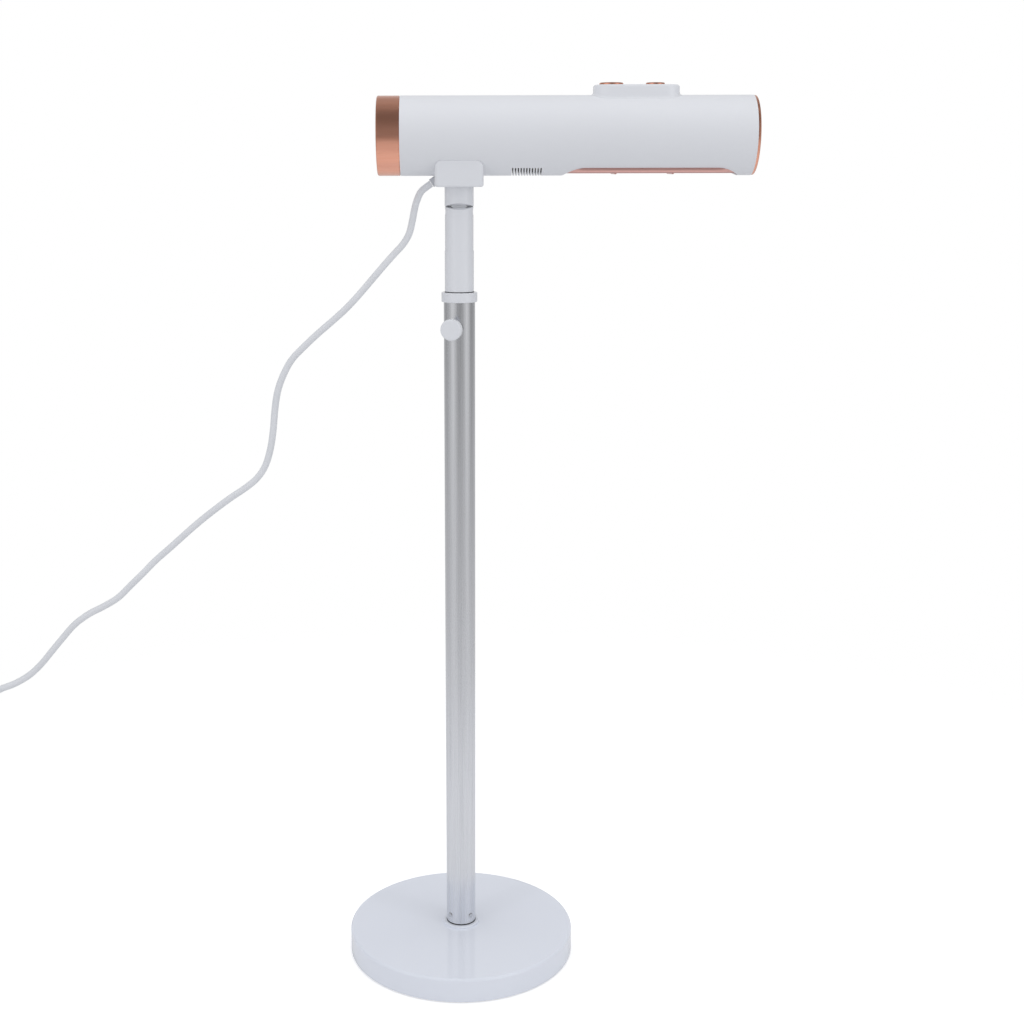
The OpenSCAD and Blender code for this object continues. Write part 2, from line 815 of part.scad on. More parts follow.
module hinge_pin() color(steel) {
  level_x(-pin_seat_x, pin_z) cylinder(r = pin_d / 2, h = 2 * pin_seat_x);
  for (x = [-pin_seat_x - pin_head_t, pin_seat_x])
    level_x(x, pin_z) cylinder(r = pin_head_r - turn_gap, h = pin_head_t);
}

module friction_washers() color(steel)
  for (x = [-cheek_x, tongue_w / 2 + turn_gap])
    level_x(x, pin_z) tube(hinge_washer_r, pin_d / 2, washer_gap - turn_gap);

module neck() color(gloss_white) difference() {
  union() {
    intersection() {
      translate([0, 0, pin_z]) cylinder(r = neck_d / 2, h = block_z - pin_z);
      level_x(-neck_d, neck_z + neck_arch_r) cylinder(r = neck_arch_r, h = 2 * neck_d);
    }
    translate([0, 0, block_z - eps]) cylinder(r = spigot_r, h = neck_spigot_h + eps);
    level_x(-tongue_w / 2, pin_z) cylinder(r = cheek_r, h = tongue_w);
    translate([-tongue_w / 2, -cheek_r, pin_z])
      cube([tongue_w, 2 * cheek_r, block_z - tongue_sink - pin_z]);
  }
  level_x(-neck_d, pin_z) cylinder(r = pin_d / 2 + turn_gap, h = 2 * neck_d);
  translate([0, 0, neck_screw_z - lay_gap]) cylinder(r = neck_screw_r, h = block_z);
}

// ---- Saddle block ----

// Puts a shape drawn around +Z on the lead's slanting line, from its exit inwards
module on_lead() {
  translate([exit_x, 0, exit_z]) rotate([0, 90 - lead_turn, 0]) children();
}

// The lead's way in: up the slant from its exit, then straight up into the barrel
module lead_path(r) {
  corner_z = exit_z + lead_run * sin(lead_turn) - r * cos(lead_turn);
  on_lead() cylinder(r = r, h = lead_run);
  translate([lead_x, 0, corner_z]) cylinder(r = r, h = lead_top - corner_z);
}

module saddle_block() color(gloss_white) difference() {
  intersection() {
    translate([0, block_w / 2, (block_z + block_top) / 2]) rotate([90, 0, 0])
      linear_extrude(height = block_w) block_front(block_top - block_z);
    translate([0, 0, block_z - over]) linear_extrude(height = block_top - block_z + 2 * over)
      round_rect(block_l, block_w, block_round);
  }
  along_x(-block_l) cylinder(r = barrel_r, h = 2 * block_l);
  translate([0, 0, block_z - over]) cylinder(r = spigot_r, h = neck_spigot_h + over);
  cylinder(r = neck_screw_r, h = block_top);
  lead_path(cord_r + turn_gap);
  on_lead() cylinder(r = cord_r + grommet_wall, h = grommet_l);
}

// The saddle block seen from the front: large upper corners, small lower ones
module block_front(h) {
  lower = block_lower_round;
  translate([-block_l / 2, -h / 2 + lower]) square([block_l, h - lower - block_top_round]);
  translate([-block_l / 2 + block_top_round, -h / 2])
    square([block_l - 2 * block_top_round, h]);
  translate([-block_l / 2 + lower, -h / 2]) square([block_l - 2 * lower, h / 2]);
  for (x = [-1, 1]) {
    translate([x * (block_l / 2 - block_top_round), h / 2 - block_top_round])
      circle(r = block_top_round);
    translate([x * (block_l / 2 - lower), -h / 2 + lower]) circle(r = lower);
  }
}

module neck_screw() color(steel) {
  translate([0, 0, neck_screw_z]) cylinder(r = neck_screw_r, h = clamp_plate_top - neck_screw_z);
  translate([0, 0, clamp_plate_top]) cylinder(r = neck_head_r, h = neck_head_t);
}

module clamp_plate() color(steel) difference() {
  intersection() {
    along_x(-clamp_plate_x) cylinder(r = barrel_in - slide_gap, h = 2 * clamp_plate_x);
    translate([-clamp_plate_x, -clamp_plate_y, axis_z - barrel_r])
      cube([2 * clamp_plate_x, 2 * clamp_plate_y, clamp_plate_top - axis_z + barrel_r]);
  }
  cylinder(r = neck_screw_r, h = axis_z);
}

module cord_grommet() color(dark) difference() {
  union() {
    on_lead() cylinder(r = cord_r + grommet_wall, h = grommet_l);
    intersection() {
      on_lead() cylinder(r = grommet_r, h = grommet_l);
      translate([-block_l, -block_w / 2, block_z]) cube([block_l / 2, block_w, block_w]);
    }
  }
  on_lead() translate([0, 0, -over]) cylinder(r = cord_r, h = block_l);
  along_x(-block_l) cylinder(r = barrel_r, h = 2 * block_l);
}

module inner_lead() color(gloss_white) lead_path(cord_r);

// ---- Barrel ----

module vent_slits() {
  for (i = [0:vent_count - 1])
    translate([vent_x + i * vent_pitch - vent_w / 2, -vent_l / 2, axis_z - barrel_d])
      cube([vent_w, vent_l, barrel_d]);
}

module barrel() color(matt_white) difference() {
  along_x(shell_left) tube(barrel_r, barrel_in, barrel_right - trim_l - shell_left);
  vent_slits();
  translate([0, 0, axis_z - barrel_d]) linear_extrude(height = barrel_d)
    slot(outlet_left, outlet_right, outlet_w, -frame_fit);
  translate([0, 0, axis_z - barrel_d]) cylinder(r = neck_screw_r, h = barrel_d);
  translate([0, 0, axis_z - barrel_d]) linear_extrude(height = barrel_d)
    slot(exit_x + lead_slot_in, lead_x + cord_r + lay_gap, 2 * (cord_r + lay_gap));
  translate([wire_x, 0, axis_z]) cylinder(r = wire_hole_r, h = barrel_d);
  for (x = post_xs) translate([x, 0, axis_z]) cylinder(r = pod_screw_r, h = barrel_d);
}

// The band that shows, with the sleeve inside it that the barrel slides over
module intake_ring() color(rose_gold) along_x(-barrel_left) rotate_extrude()
  polygon([[barrel_in, 0], [barrel_r - band_chamfer, 0], [barrel_r, band_chamfer],
    [barrel_r, band_l], [barrel_in, band_l], [barrel_in, band_l + groove_w + sleeve_out],
    [barrel_in - fan_ring_t, band_l + groove_w + sleeve_out],
    [barrel_in - fan_ring_t, band_l - sleeve_in], [barrel_in, band_l - sleeve_in]]);

module intake_grille() color(dark) along_x(-barrel_left + band_chamfer) {
  for (i = [1:ring_count]) let (r = barrel_in * i / ring_count)
    tube(r, r - ring_w, intake_grille_t);
  difference() {
    for (a = [0:spoke_turn:180 - spoke_turn]) rotate([0, 0, a])
      translate([-barrel_in + ring_w / 2, -ring_w / 2, 0])
        cube([2 * barrel_in - ring_w, ring_w, intake_grille_t]);
    translate([0, 0, -over])
      cylinder(r = barrel_in / ring_count - ring_w / 2, h = intake_grille_t + 2 * over);
  }
}

module intake_filter() color(steel) along_x(-barrel_left + filter_inset) {
  cylinder(r = barrel_in - filter_overlap, h = filter_t);
  tube(barrel_in, barrel_in - filter_rim_w, filter_rim_w);
}

module fan_housing() color(dark) along_x(fan_x) {
  tube(barrel_in, barrel_in - fan_ring_t, fan_l);
  translate([0, 0, fan_l - fan_hub_l]) {
    tube(fan_hub_r, shaft_r + turn_gap, fan_hub_l);
    for (i = [0:vane_count - 1]) rotate([0, 0, 360 * (i + 0.5) / vane_count])
      translate([fan_hub_r - vane_root, -vane_t / 2, 0])
        cube([barrel_in - fan_ring_t / 2 - fan_hub_r + vane_root, vane_t, fan_hub_l - vane_drop]);
  }
}

module motor() color(steel) along_x(hub_x) difference() {
  union() {
    cylinder(r = motor_r, h = motor_l - motor_step_l);
    cylinder(r = motor_r - motor_step_r, h = motor_l);
  }
  translate([0, 0, -over]) cylinder(r = shaft_r + turn_gap, h = motor_l - motor_back_t + over);
}

module motor_shaft() color(steel) along_x(shaft_x)
  cylinder(r = shaft_r, h = hub_x + motor_l - motor_back_t - shaft_tip_gap - shaft_x);

module impeller() color(dark) along_x(impeller_x) difference() {
  union() {
    cylinder(r = fan_hub_r, h = impeller_l);
    intersection() {
      cylinder(r = impeller_r, h = impeller_l);
      for (i = [0:blade_count - 1]) rotate([0, 0, 360 * i / blade_count])
        translate([0, 0, impeller_l / 2]) rotate([blade_turn, 0, 0])
          translate([blade_root, -blade_t / 2, -impeller_l])
            cube([barrel_r, blade_t, 2 * impeller_l]);
    }
  }
  translate([0, 0, -over]) cylinder(r = shaft_r, h = impeller_l + 2 * over);
}

module heater_frame() color(mica) {
  cross_l = shield_l - 2 * heater_inset;
  along_x(shield_x + heater_inset) {
    for (a = [0, 90]) rotate([0, 0, a]) translate([-heater_r, -sheet_t / 2, 0])
      cube([2 * heater_r, sheet_t, cross_l]);
    for (x = [0, cross_l - sheet_t]) translate([0, 0, x]) difference() {
      cylinder(r = shield_r - slide_gap, h = sheet_t);
      for (a = [45:90:315]) rotate([0, 0, a]) translate([air_hole_at, 0, -over])
        cylinder(r = air_hole_r, h = sheet_t + 2 * over);
    }
  }
}

module heater_winding() color(steel) {
  pitch = (shield_l - winding_start - winding_end) / (winding_turns - 1);
  for (i = [0:winding_turns - 1]) along_x(shield_x + winding_start + i * pitch) rotate_extrude()
    translate([heater_r + winding_r + turn_gap, 0]) circle(r = winding_r, $fn = 24);
}

// The thermostat and the fuse stand on the heater frame's far disc
heater_end = shield_x + shield_l - heater_inset;

module thermostat() color(dark)
  translate([heater_end, -thermostat_size[1] / 2, axis_z - thermostat_size[2] / 2])
    cube(thermostat_size);

module thermal_fuse() color(brushed)
  level_x(heater_end, axis_z + fuse_rise) cylinder(r = fuse_r, h = fuse_l);

module heat_shield() color(mica) along_x(shield_x) {
  tube(shield_r + sheet_t, shield_r, shield_l);
  for (x = [0, shield_l - shield_rim_t]) translate([0, 0, x])
    tube(barrel_in - slide_gap, shield_r, shield_rim_t);
}

module air_guide() color(dark) {
  guide_l = guide_end - guide_x;
  guide_in = barrel_in - slide_gap - guide_t;
  pitch = guide_l / (guide_vane_count + 1);
  intersection() {
    along_x(guide_x) tube(barrel_in - slide_gap, guide_in, guide_l);
    translate([guide_x, -barrel_r, axis_z - guide_low])
      cube([guide_l, barrel_d, guide_low + guide_top]);
  }
  for (i = [1:guide_vane_count]) intersection() {
    along_x(guide_x + i * pitch - guide_t / 2) cylinder(r = guide_in + eps, h = guide_t);
    translate([guide_x, -barrel_r, axis_z - guide_vane_low])
      cube([guide_l, barrel_d, guide_vane_low + guide_vane_top]);
  }
}

// ---- Outlet ----

// The outlet's outline, drawn in from the frame's edge by inset, from z0 to z1
module outlet_prism(inset, z0, z1) {
  translate([0, 0, z0]) linear_extrude(height = z1 - z0)
    slot(outlet_left, outlet_right, outlet_w, inset);
}

// A trim frame: a wall with a flat rounded face below, held by a flange inside the barrel
module outlet_frame() color(rose_gold) difference() {
  union() {
    translate([0, 0, outlet_face + frame_h]) mirror([0, 0, 1])
      soft_slot(outlet_left, outlet_right, outlet_w, frame_h, frame_round);
    intersection() {
      outlet_prism(-frame_flange_w, axis_z - barrel_r, axis_z);
      along_x(outlet_left - frame_flange_w) tube(barrel_in, barrel_in - frame_flange_t,
        outlet_right - outlet_left + 2 * frame_flange_w);
    }
  }
  outlet_prism(frame_w, outlet_face - over, grille_z + eps);
  outlet_prism(frame_w - frame_ledge, grille_z, axis_z);
}

// Round-nosed bars across the opening, from the grille to just below the frame's face
module outlet_dividers() color(rose_gold) {
  l = outlet_w - 2 * frame_w;
  nose_z = outlet_face - divider_proud + divider_w / 2;
  for (x = divider_x) translate([x, l / 2, nose_z]) rotate([90, 0, 0])
    linear_extrude(height = l) {
      circle(r = divider_w / 2);
      translate([-divider_w / 2, 0]) square([divider_w, grille_z - nose_z]);
    }
}

module outlet_grille() color(dark) difference() {
  outlet_prism(frame_w - frame_ledge, grille_z, grille_z + grille_t);
  slit_l = outlet_w / 2 - frame_w - grille_margin - grille_spine / 2;
  first_x = outlet_left + frame_w + grille_margin + slit_w;
  for (x = [first_x:slit_pitch:outlet_right - first_x + outlet_left], y = [-1, 1])
    translate([x, y * (grille_spine + slit_l) / 2, grille_z + grille_t / 2])
      cube([slit_w, slit_l, grille_t + 2 * over], center = true);
}

// ---- Closed end ----

module end_cap() color(matt_white) along_x(barrel_right - trim_l) {
  translate([0, 0, -cap_plug_l]) tube(barrel_in, barrel_in - cap_plug_wall, cap_plug_l + eps);
  cylinder(r = barrel_r - trim_inset - trim_w, h = cap_t);
}

module end_trim() color(rose_gold) along_x(barrel_right - trim_l) difference() {
  soft_disc(barrel_r - trim_inset, trim_l, trim_round);
  translate([0, 0, -over]) cylinder(r = barrel_r - trim_inset - trim_w, h = trim_l + 2 * over);
}

// ---- Controls ----

module control_pod() color(matt_white) {
  difference() {
    translate([0, 0, axis_z])
      soft_slot(pod_left, pod_left + pod_l, pod_w, pod_z - axis_z, pod_round);
    along_x(pod_left - over) cylinder(r = barrel_r, h = pod_l + 2 * over);
    translate([0, 0, axis_z]) linear_extrude(height = pod_z - pod_wall - axis_z)
      slot(pod_left, pod_left + pod_l, pod_w, pod_wall);
    translate([power_x, 0, axis_z]) cylinder(r = power_bezel_d / 2 - bezel_w, h = barrel_d);
    translate([mode_x, 0, axis_z]) cylinder(r = mode_bezel_d / 2 - bezel_w, h = barrel_d);
  }
  difference() {
    for (x = post_xs) translate([x, 0, axis_z]) {
      cylinder(r = post_r, h = pod_z - pod_wall - axis_z + eps);
      cylinder(r = post_r + post_foot, h = board_top - board_t - axis_z);
    }
    along_x(pod_left - over) cylinder(r = barrel_r, h = pod_l + 2 * over);
    for (x = post_xs) translate([x, 0, axis_z])
      cylinder(r = pod_screw_r, h = pod_z - pod_wall - post_roof - axis_z);
  }
}

module bezel(x, d) color(rose_gold) translate([x, 0, pod_z]) difference() {
  soft_disc(d / 2, bezel_h, bezel_round);
  translate([0, 0, -over]) cylinder(r = d / 2 - bezel_w, h = bezel_h + 2 * over);
}

module power_bezel() bezel(power_x, power_bezel_d);

module mode_bezel() bezel(mode_x, mode_bezel_d);

// A round button: a cap in its bezel, a retaining lip under the pod's top and a plunger
module button(x, d) color(matt_white) translate([x, 0, 0]) {
  r = d / 2 - bezel_w - button_gap;
  dome_r = (r * r + button_dome * button_dome) / (2 * button_dome);
  lip_z = pod_z - pod_wall - lay_gap - button_lip_t;
  crown_z = pod_z + bezel_h + button_dome;
  intersection() {
    translate([0, 0, lip_z]) cylinder(r = r, h = crown_z - lip_z);
    translate([0, 0, crown_z - button_sink - dome_r]) sphere(r = dome_r, $fn = 180);
  }
  translate([0, 0, lip_z]) cylinder(r = r + button_lip, h = button_lip_t);
}

module power_button() button(power_x, power_bezel_d);

module mode_button() button(mode_x, mode_bezel_d);

module switch_board() color("#2e6b4a") {
  difference() {
    translate([pod_x, 0, board_top - board_t]) linear_extrude(height = board_t)
      round_rect(pod_l - 2 * (pod_wall + board_end_gap), board_w, board_round);
    for (x = post_xs) translate([x, 0, axis_z]) cylinder(r = post_r + turn_gap, h = barrel_d);
  }
  for (x = [power_x, mode_x])
    translate([x - switch_w / 2, -switch_w / 2, board_top]) cube([switch_w, switch_w, switch_h]);
}

module pod_screws() color(steel) {
  head_z = axis_z + barrel_in - pod_screw_head_t - screw_hole_gap;
  for (x = post_xs) translate([x, 0, head_z]) {
    cylinder(r = pod_screw_head_r, h = pod_screw_head_t);
    cylinder(r = pod_screw_r, h = pod_z - pod_wall - post_roof - pod_screw_tip_gap - head_z);
  }
}

// ---- Cord, coil and plug ----

cord_exit = [exit_x, 0, exit_z];
lead_dir = [cos(lead_turn), 0, sin(lead_turn)];
cord_points = concat([cord_exit - cord_gap * lead_dir, cord_exit - cord_straight * lead_dir],
  cord_route);
cord_end = cord_points[len(cord_points) - 1];

// Radius and height of the coil's middle line after t turns
function coil_radius(t) = coil_r - coil_pitch * (t < coil_turns / 2 ? t : coil_turns - t);
function climb(u) = u < 0 ? 0 : u > 1 ? 1 : u * u * (3 - 2 * u);
function coil_height(t) = coil_z + coil_pitch * climb(2 * (t - coil_turns / 2) + 0.5);
function coil_point(t) = [coil_x + coil_radius(t) * cos(-360 * t),
  coil_y + coil_radius(t) * sin(-360 * t), coil_height(t)];

coil_turn_points = [for (i = [0:coil_turns * coil_steps]) coil_point(i / coil_steps)];
coil_points = concat([cord_end, coil_turn_points[0] + [0, cord_d, 0]], coil_turn_points,
  [coil_turn_points[coil_turns * coil_steps] + [0, -cord_d, 0],
    coil_turn_points[coil_turns * coil_steps] + [0, -coil_end_run, 0]]);

// Least gap of the coil to itself, between points over a third of a turn apart
coil_gap = min([for (i = [0:len(coil_turn_points) - 1])
  for (j = [i + ceil(coil_steps / 3):1:len(coil_turn_points) - 1])
    norm(coil_turn_points[i] - coil_turn_points[j])]) - cord_d;
echo(coil_gap = coil_gap);

// Whole length of the cord, from the saddle block to the plug
function route_length(p) =
  len(p) < 2 ? 0 : [for (i = [1:len(p) - 1]) norm(p[i] - p[i - 1])] * [for (i = [1:len(p) - 1]) 1];
echo(cord_length = route_length(cord_points) + route_length(coil_points));

module power_cord() color(gloss_white) sweep(cord_points, cord_r, cord_sides, [0, 1, 0]);

module cord_coil() color(gloss_white) sweep(coil_points, cord_r, coil_sides, [0, 0, 1]);

module cord_tie() color(dark) {
  bundle_w = coil_turns / 2 * coil_pitch + 2 * tie_gap;
  bundle_h = coil_pitch + cord_d + 2 * tie_gap;
  translate([coil_x - coil_radius(coil_turns / 4), coil_y,
    coil_z - cord_r - tie_gap + bundle_h / 2])
    rotate([90, 0, 0]) translate([0, 0, -tie_w / 2]) linear_extrude(height = tie_w) difference() {
      round_rect(bundle_w + 2 * tie_t, bundle_h + 2 * tie_t, tie_round + tie_t);
      round_rect(bundle_w, bundle_h, tie_round);
    }
}

module plug_body() color(gloss_white) difference() {
  translate([plug_x, plug_y, plug_z]) rotate([90, 0, 0]) {
    linear_extrude(height = plug_l) round_rect(plug_w, plug_t, plug_round);
    translate([0, 0, -plug_neck_l]) {
      linear_extrude(height = plug_neck_l + over) round_rect(plug_w - 2 * plug_neck_inset,
        plug_t - 2 * plug_neck_step, plug_round - 1);
      translate([0, 0, plug_neck_l - plug_tail_l]) cylinder(r1 = cord_r + plug_tail_tip,
        r2 = cord_r + plug_tail_root, h = plug_tail_l - plug_neck_l + over);
    }
  }
  plug_pins();
}

module plug_pins() color(steel) for (x = [-1, 1])
  translate([plug_x + x * plug_pin_pitch / 2, plug_y - plug_l + plug_pin_in, plug_z])
    rotate([90, 0, 0]) cylinder(r = plug_pin_r, h = plug_pin_in + plug_pin_l);

base_cover();
base_weight();
base_plate();
base_pad();
base_screws();
pole_spigot();
spigot_bolt();
pole_bezel();
pole_screws();
outer_tube();
collar();
clamp_nut();
glide_plug();
inner_tube();
hinge_fitting();
hinge_knuckle();
hinge_screws();
hinge_pin();
friction_washers();
neck();
saddle_block();
neck_screw();
clamp_plate();
cord_grommet();
inner_lead();
barrel();
intake_ring();
intake_grille();
intake_filter();
fan_housing();
motor();
heater_frame();
heater_winding();
thermostat();
thermal_fuse();
heat_shield();
air_guide();
outlet_frame();
outlet_dividers();
outlet_grille();
end_cap();
end_trim();
control_pod();
power_bezel();
mode_bezel();
switch_board();
pod_screws();
motor_shaft();
impeller();
power_button();
mode_button();
clamp_pad();
clamp_knob();
clamp_screw();
power_cord();
cord_coil();
cord_tie();
plug_body();
plug_pins();
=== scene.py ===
import math

import bmesh
import bpy
from mathutils import Matrix, Vector


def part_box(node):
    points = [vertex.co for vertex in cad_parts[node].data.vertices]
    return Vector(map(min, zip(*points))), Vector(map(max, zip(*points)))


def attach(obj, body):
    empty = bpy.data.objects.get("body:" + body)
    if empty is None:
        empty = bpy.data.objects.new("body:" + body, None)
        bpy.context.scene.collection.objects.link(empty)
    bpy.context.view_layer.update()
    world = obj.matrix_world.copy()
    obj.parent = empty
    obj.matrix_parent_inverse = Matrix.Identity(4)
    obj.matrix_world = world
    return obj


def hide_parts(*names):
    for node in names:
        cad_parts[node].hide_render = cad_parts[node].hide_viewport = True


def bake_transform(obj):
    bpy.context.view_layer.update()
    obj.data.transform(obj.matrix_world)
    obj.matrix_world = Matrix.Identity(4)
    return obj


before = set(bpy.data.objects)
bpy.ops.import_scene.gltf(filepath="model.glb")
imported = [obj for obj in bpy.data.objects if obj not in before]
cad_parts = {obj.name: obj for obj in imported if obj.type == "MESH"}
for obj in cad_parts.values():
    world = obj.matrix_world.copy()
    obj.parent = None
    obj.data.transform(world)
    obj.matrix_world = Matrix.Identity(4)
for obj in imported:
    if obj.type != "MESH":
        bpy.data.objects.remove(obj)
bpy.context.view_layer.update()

# ---- Camera ----
# It stands straight in front of the pole, a little below the height of the barrel's axis, and
# looks down. The frame is moved sideways to hold the long barrel.

picture_px = 1024
focal_px = 1500
sensor_w = 36
camera_place = (0.0028, -1.3485, 0.7513)
camera_pitch = math.radians(13.06)
camera_roll = math.radians(-0.1315)
camera_shift = 0.0478

camera = bpy.data.objects.new("camera", bpy.data.cameras.new("camera"))
bpy.context.scene.collection.objects.link(camera)
bpy.context.scene.camera = camera
camera.data.sensor_width = sensor_w
camera.data.lens = sensor_w * focal_px / picture_px
camera.data.shift_x = camera_shift
camera.matrix_world = (
    Matrix.Translation(camera_place)
    @ Matrix.Rotation(math.pi / 2 - camera_pitch, 4, "X")
    @ Matrix.Rotation(camera_roll, 4, "Z")
)


# ---- Power cord ----
# White PVC lead with two cores, 6.3 mm thick and 1.8 m long. It leaves the saddle block on a
# slant, falls away from the pole in slack waves and ends on the floor in a tied coil.

cord_d = 0.0063
lead_end = Vector((-0.0242, 0, 0.7348))
lead_turn = math.radians(35)
cord_slant = Vector((-math.cos(lead_turn), 0, -math.sin(lead_turn)))
exit_gap, exit_run = 0.00045, 0.0065
cord_exit = lead_end + exit_gap * cord_slant
# Points along the route, in millimetres
cord_route = [cord_exit, lead_end + exit_run * cord_slant] + [Vector(p) / 1000 for p in (
    (-33.8, 0, 727.2), (-37.2, 0, 720), (-39.5, 0, 712), (-41.5, 0, 702), (-44.5, 0, 691),
    (-50, 0, 682), (-58, 0, 673.5), (-68, 0, 662.5), (-78.5, 0, 650.5), (-89.5, 0, 638),
    (-101.5, 0, 625.5), (-114.5, 0, 614), (-127.5, 0, 603), (-140.5, 0, 591),
    (-151.5, 0, 579.5), (-159.5, 0, 565.5), (-165, 0, 550.5), (-168, 0, 533.5),
    (-170, 0, 515.5), (-173, 0, 498.5), (-178, 0, 483), (-186, 0, 471), (-197.5, 0, 461.5),
    (-211, 0, 452.5), (-226, 0, 441.5), (-240, 0, 430.5), (-254, 0, 418.5), (-268, 0, 406),
    (-282.5, 0, 393.5), (-295.5, 0, 380.5), (-308, 0, 368.5), (-320, 0, 357), (-334, 0, 348.5),
    (-348.5, 0, 341), (-362, 0, 331), (-373, 0, 319), (-384.5, 0, 305.5), (-396, 0, 292),
    (-408, 0, 281), (-422.5, 0, 272.5), (-438, 1, 266), (-447, 3, 258), (-458, 7, 246),
    (-467, 12, 231), (-473, 17, 214), (-477, 22, 196), (-480, 26, 178), (-482, 30, 160),
    (-483, 33, 142), (-483, 35, 124), (-483, 36, 106), (-483, 36.5, 88), (-483, 36.5, 70),
    (-483, 36.5, 52), (-483, 36, 35), (-483, 33.5, 23.5), (-483, 27, 13.5), (-483, 17.5, 7),
    (-483, 7, 4.55), (-483, -1, 4.55))]

coil_r = 0.0392
coil_pitch = cord_d + 0.0006
coil_turns = 4
climb_turns = 0.5
coil_y = -0.013
coil_z = cord_route[-1].z
coil_mid = Vector((cord_route[-1].x - coil_r, coil_y, 0))
coil_end_run = 0.022


def coil_point(turn):
    """The coil's middle line: two turns inwards, a climb, and two turns out on top."""
    r = coil_r - coil_pitch * min(turn, coil_turns - turn)
    up = min(max((turn - coil_turns / 2 + climb_turns / 2) / climb_turns, 0), 1)
    angle = -2 * math.pi * turn
    return coil_mid + Vector((r * math.cos(angle), r * math.sin(angle),
                              coil_z + coil_pitch * up * up * (3 - 2 * up)))


coil_steps = 48
coil_route = [coil_point(i / coil_steps) for i in range(coil_turns * coil_steps + 1)]
coil_end = coil_route[-1] - Vector((0, coil_end_run, 0))


def smooth_route(points, parts):
    """Points along a curve that passes through the given ones."""
    out = []
    for i in range(len(points) - 1):
        a, b = points[max(i - 1, 0)], points[i]
        c, d = points[i + 1], points[min(i + 2, len(points) - 1)]
        for k in range(parts):
            t = k / parts
            out.append(b + 0.5 * t * (c - a)
                       + t * t * (a - 2.5 * b + 2 * c - 0.5 * d)
                       + t ** 3 * (-0.5 * a + 1.5 * b - 1.5 * c + 0.5 * d))
    return out + [points[-1]]


def tube_along(name, points, radius, sides=16):
    """A closed tube whose middle line passes through the points."""
    line = bpy.data.curves.new(name, "CURVE")
    line.dimensions = "3D"
    line.bevel_depth = radius
    line.bevel_resolution = sides // 4 - 1
    line.use_fill_caps = True
    run = line.splines.new("POLY")
    run.points.add(len(points) - 1)
    for spot, p in zip(run.points, points):
        spot.co = (*p, 1)
    drawn = bpy.data.objects.new(name, line)
    bpy.context.scene.collection.objects.link(drawn)
    bpy.context.view_layer.update()
    mesh = bpy.data.meshes.new_from_object(drawn)
    bpy.data.objects.remove(drawn)
    tube = bpy.data.objects.new(name, mesh)
    bpy.context.scene.collection.objects.link(tube)
    mesh.shade_smooth()
    return tube


floor_run = [cord_route[-1], coil_route[0] + Vector((0, cord_d, 0))]
tail = [coil_route[-1] - Vector((0, coil_end_run / 2, 0)), coil_end]
cord_line = (smooth_route(cord_route, 4)[:-1] + smooth_route(floor_run, 3)[:-1]
             + coil_route + tail)
power_cord = tube_along("lead", cord_line, cord_d / 2)


def shader(name, colour, metallic=0.0, roughness=0.4, specular=0.5, coat=0.0):
    """A material with its main finish set, and its tree and shader to add to."""
    material = bpy.data.materials.new(name)
    material.use_nodes = True
    tree = material.node_tree
    finish = tree.nodes["Principled BSDF"]
    finish.inputs["Base Color"].default_value = (*colour, 1)
    finish.inputs["Metallic"].default_value = metallic
    finish.inputs["Roughness"].default_value = roughness
    finish.inputs["Specular IOR Level"].default_value = specular
    finish.inputs["Coat Weight"].default_value = coat
    return material, tree, finish


def surface_noise(tree, scale, stretch=(1, 1, 1), detail=4.0):
    """Noise on the piece's own coordinates, drawn out along an axis by stretch."""
    place = tree.nodes.new("ShaderNodeTexCoord")
    turn = tree.nodes.new("ShaderNodeMapping")
    turn.inputs["Scale"].default_value = stretch
    noise = tree.nodes.new("ShaderNodeTexNoise")
    noise.inputs["Scale"].default_value = scale
    noise.inputs["Detail"].default_value = detail
    tree.links.new(place.outputs["Object"], turn.inputs["Vector"])
    tree.links.new(turn.outputs["Vector"], noise.inputs["Vector"])
    return noise.outputs["Fac"]


def vary(tree, fac, socket, low, high):
    """Drives a colour or number of the finish between two values by a noise."""
    if socket.type == "RGBA":
        ramp = tree.nodes.new("ShaderNodeValToRGB")
        ramp.color_ramp.elements[0].color = (*low, 1)
        ramp.color_ramp.elements[1].color = (*high, 1)
        ramp.color_ramp.elements[0].position = 0.3
        ramp.color_ramp.elements[1].position = 0.7
        tree.links.new(fac, ramp.inputs["Fac"])
        tree.links.new(ramp.outputs["Color"], socket)
    else:
        spread = tree.nodes.new("ShaderNodeMapRange")
        spread.inputs["From Min"].default_value = 0.3
        spread.inputs["From Max"].default_value = 0.7
        spread.inputs["To Min"].default_value = low
        spread.inputs["To Max"].default_value = high
        tree.links.new(fac, spread.inputs["Value"])
        tree.links.new(spread.outputs["Result"], socket)


def emboss(tree, finish, fac, strength, depth):
    """Raises the surface by a noise."""
    bump = tree.nodes.new("ShaderNodeBump")
    bump.inputs["Strength"].default_value = strength
    bump.inputs["Distance"].default_value = depth
    tree.links.new(fac, bump.inputs["Height"])
    tree.links.new(bump.outputs["Normal"], finish.inputs["Normal"])


cord_pvc, tree, finish = shader("white cord PVC", (0.82, 0.83, 0.85), roughness=0.42)
vary(tree, surface_noise(tree, 40), finish.inputs["Base Color"],
     (0.80, 0.81, 0.83), (0.85, 0.86, 0.88))
emboss(tree, finish, surface_noise(tree, 900), 0.15, 0.0003)
power_cord.data.materials.append(cord_pvc)
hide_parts("power_cord", "cord_coil")
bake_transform(power_cord)


def dress(material, *names):
    """Gives CAD nodes a material."""
    for name in names:
        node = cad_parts[name]
        node.data.materials.clear()
        node.data.materials.append(material)


# ---- White mouldings ----
# The stem, saddle block, base, collar, knob, pod and buttons are glossy ABS, lacquered.
# The barrel is the same plastic with a fine matt texture.

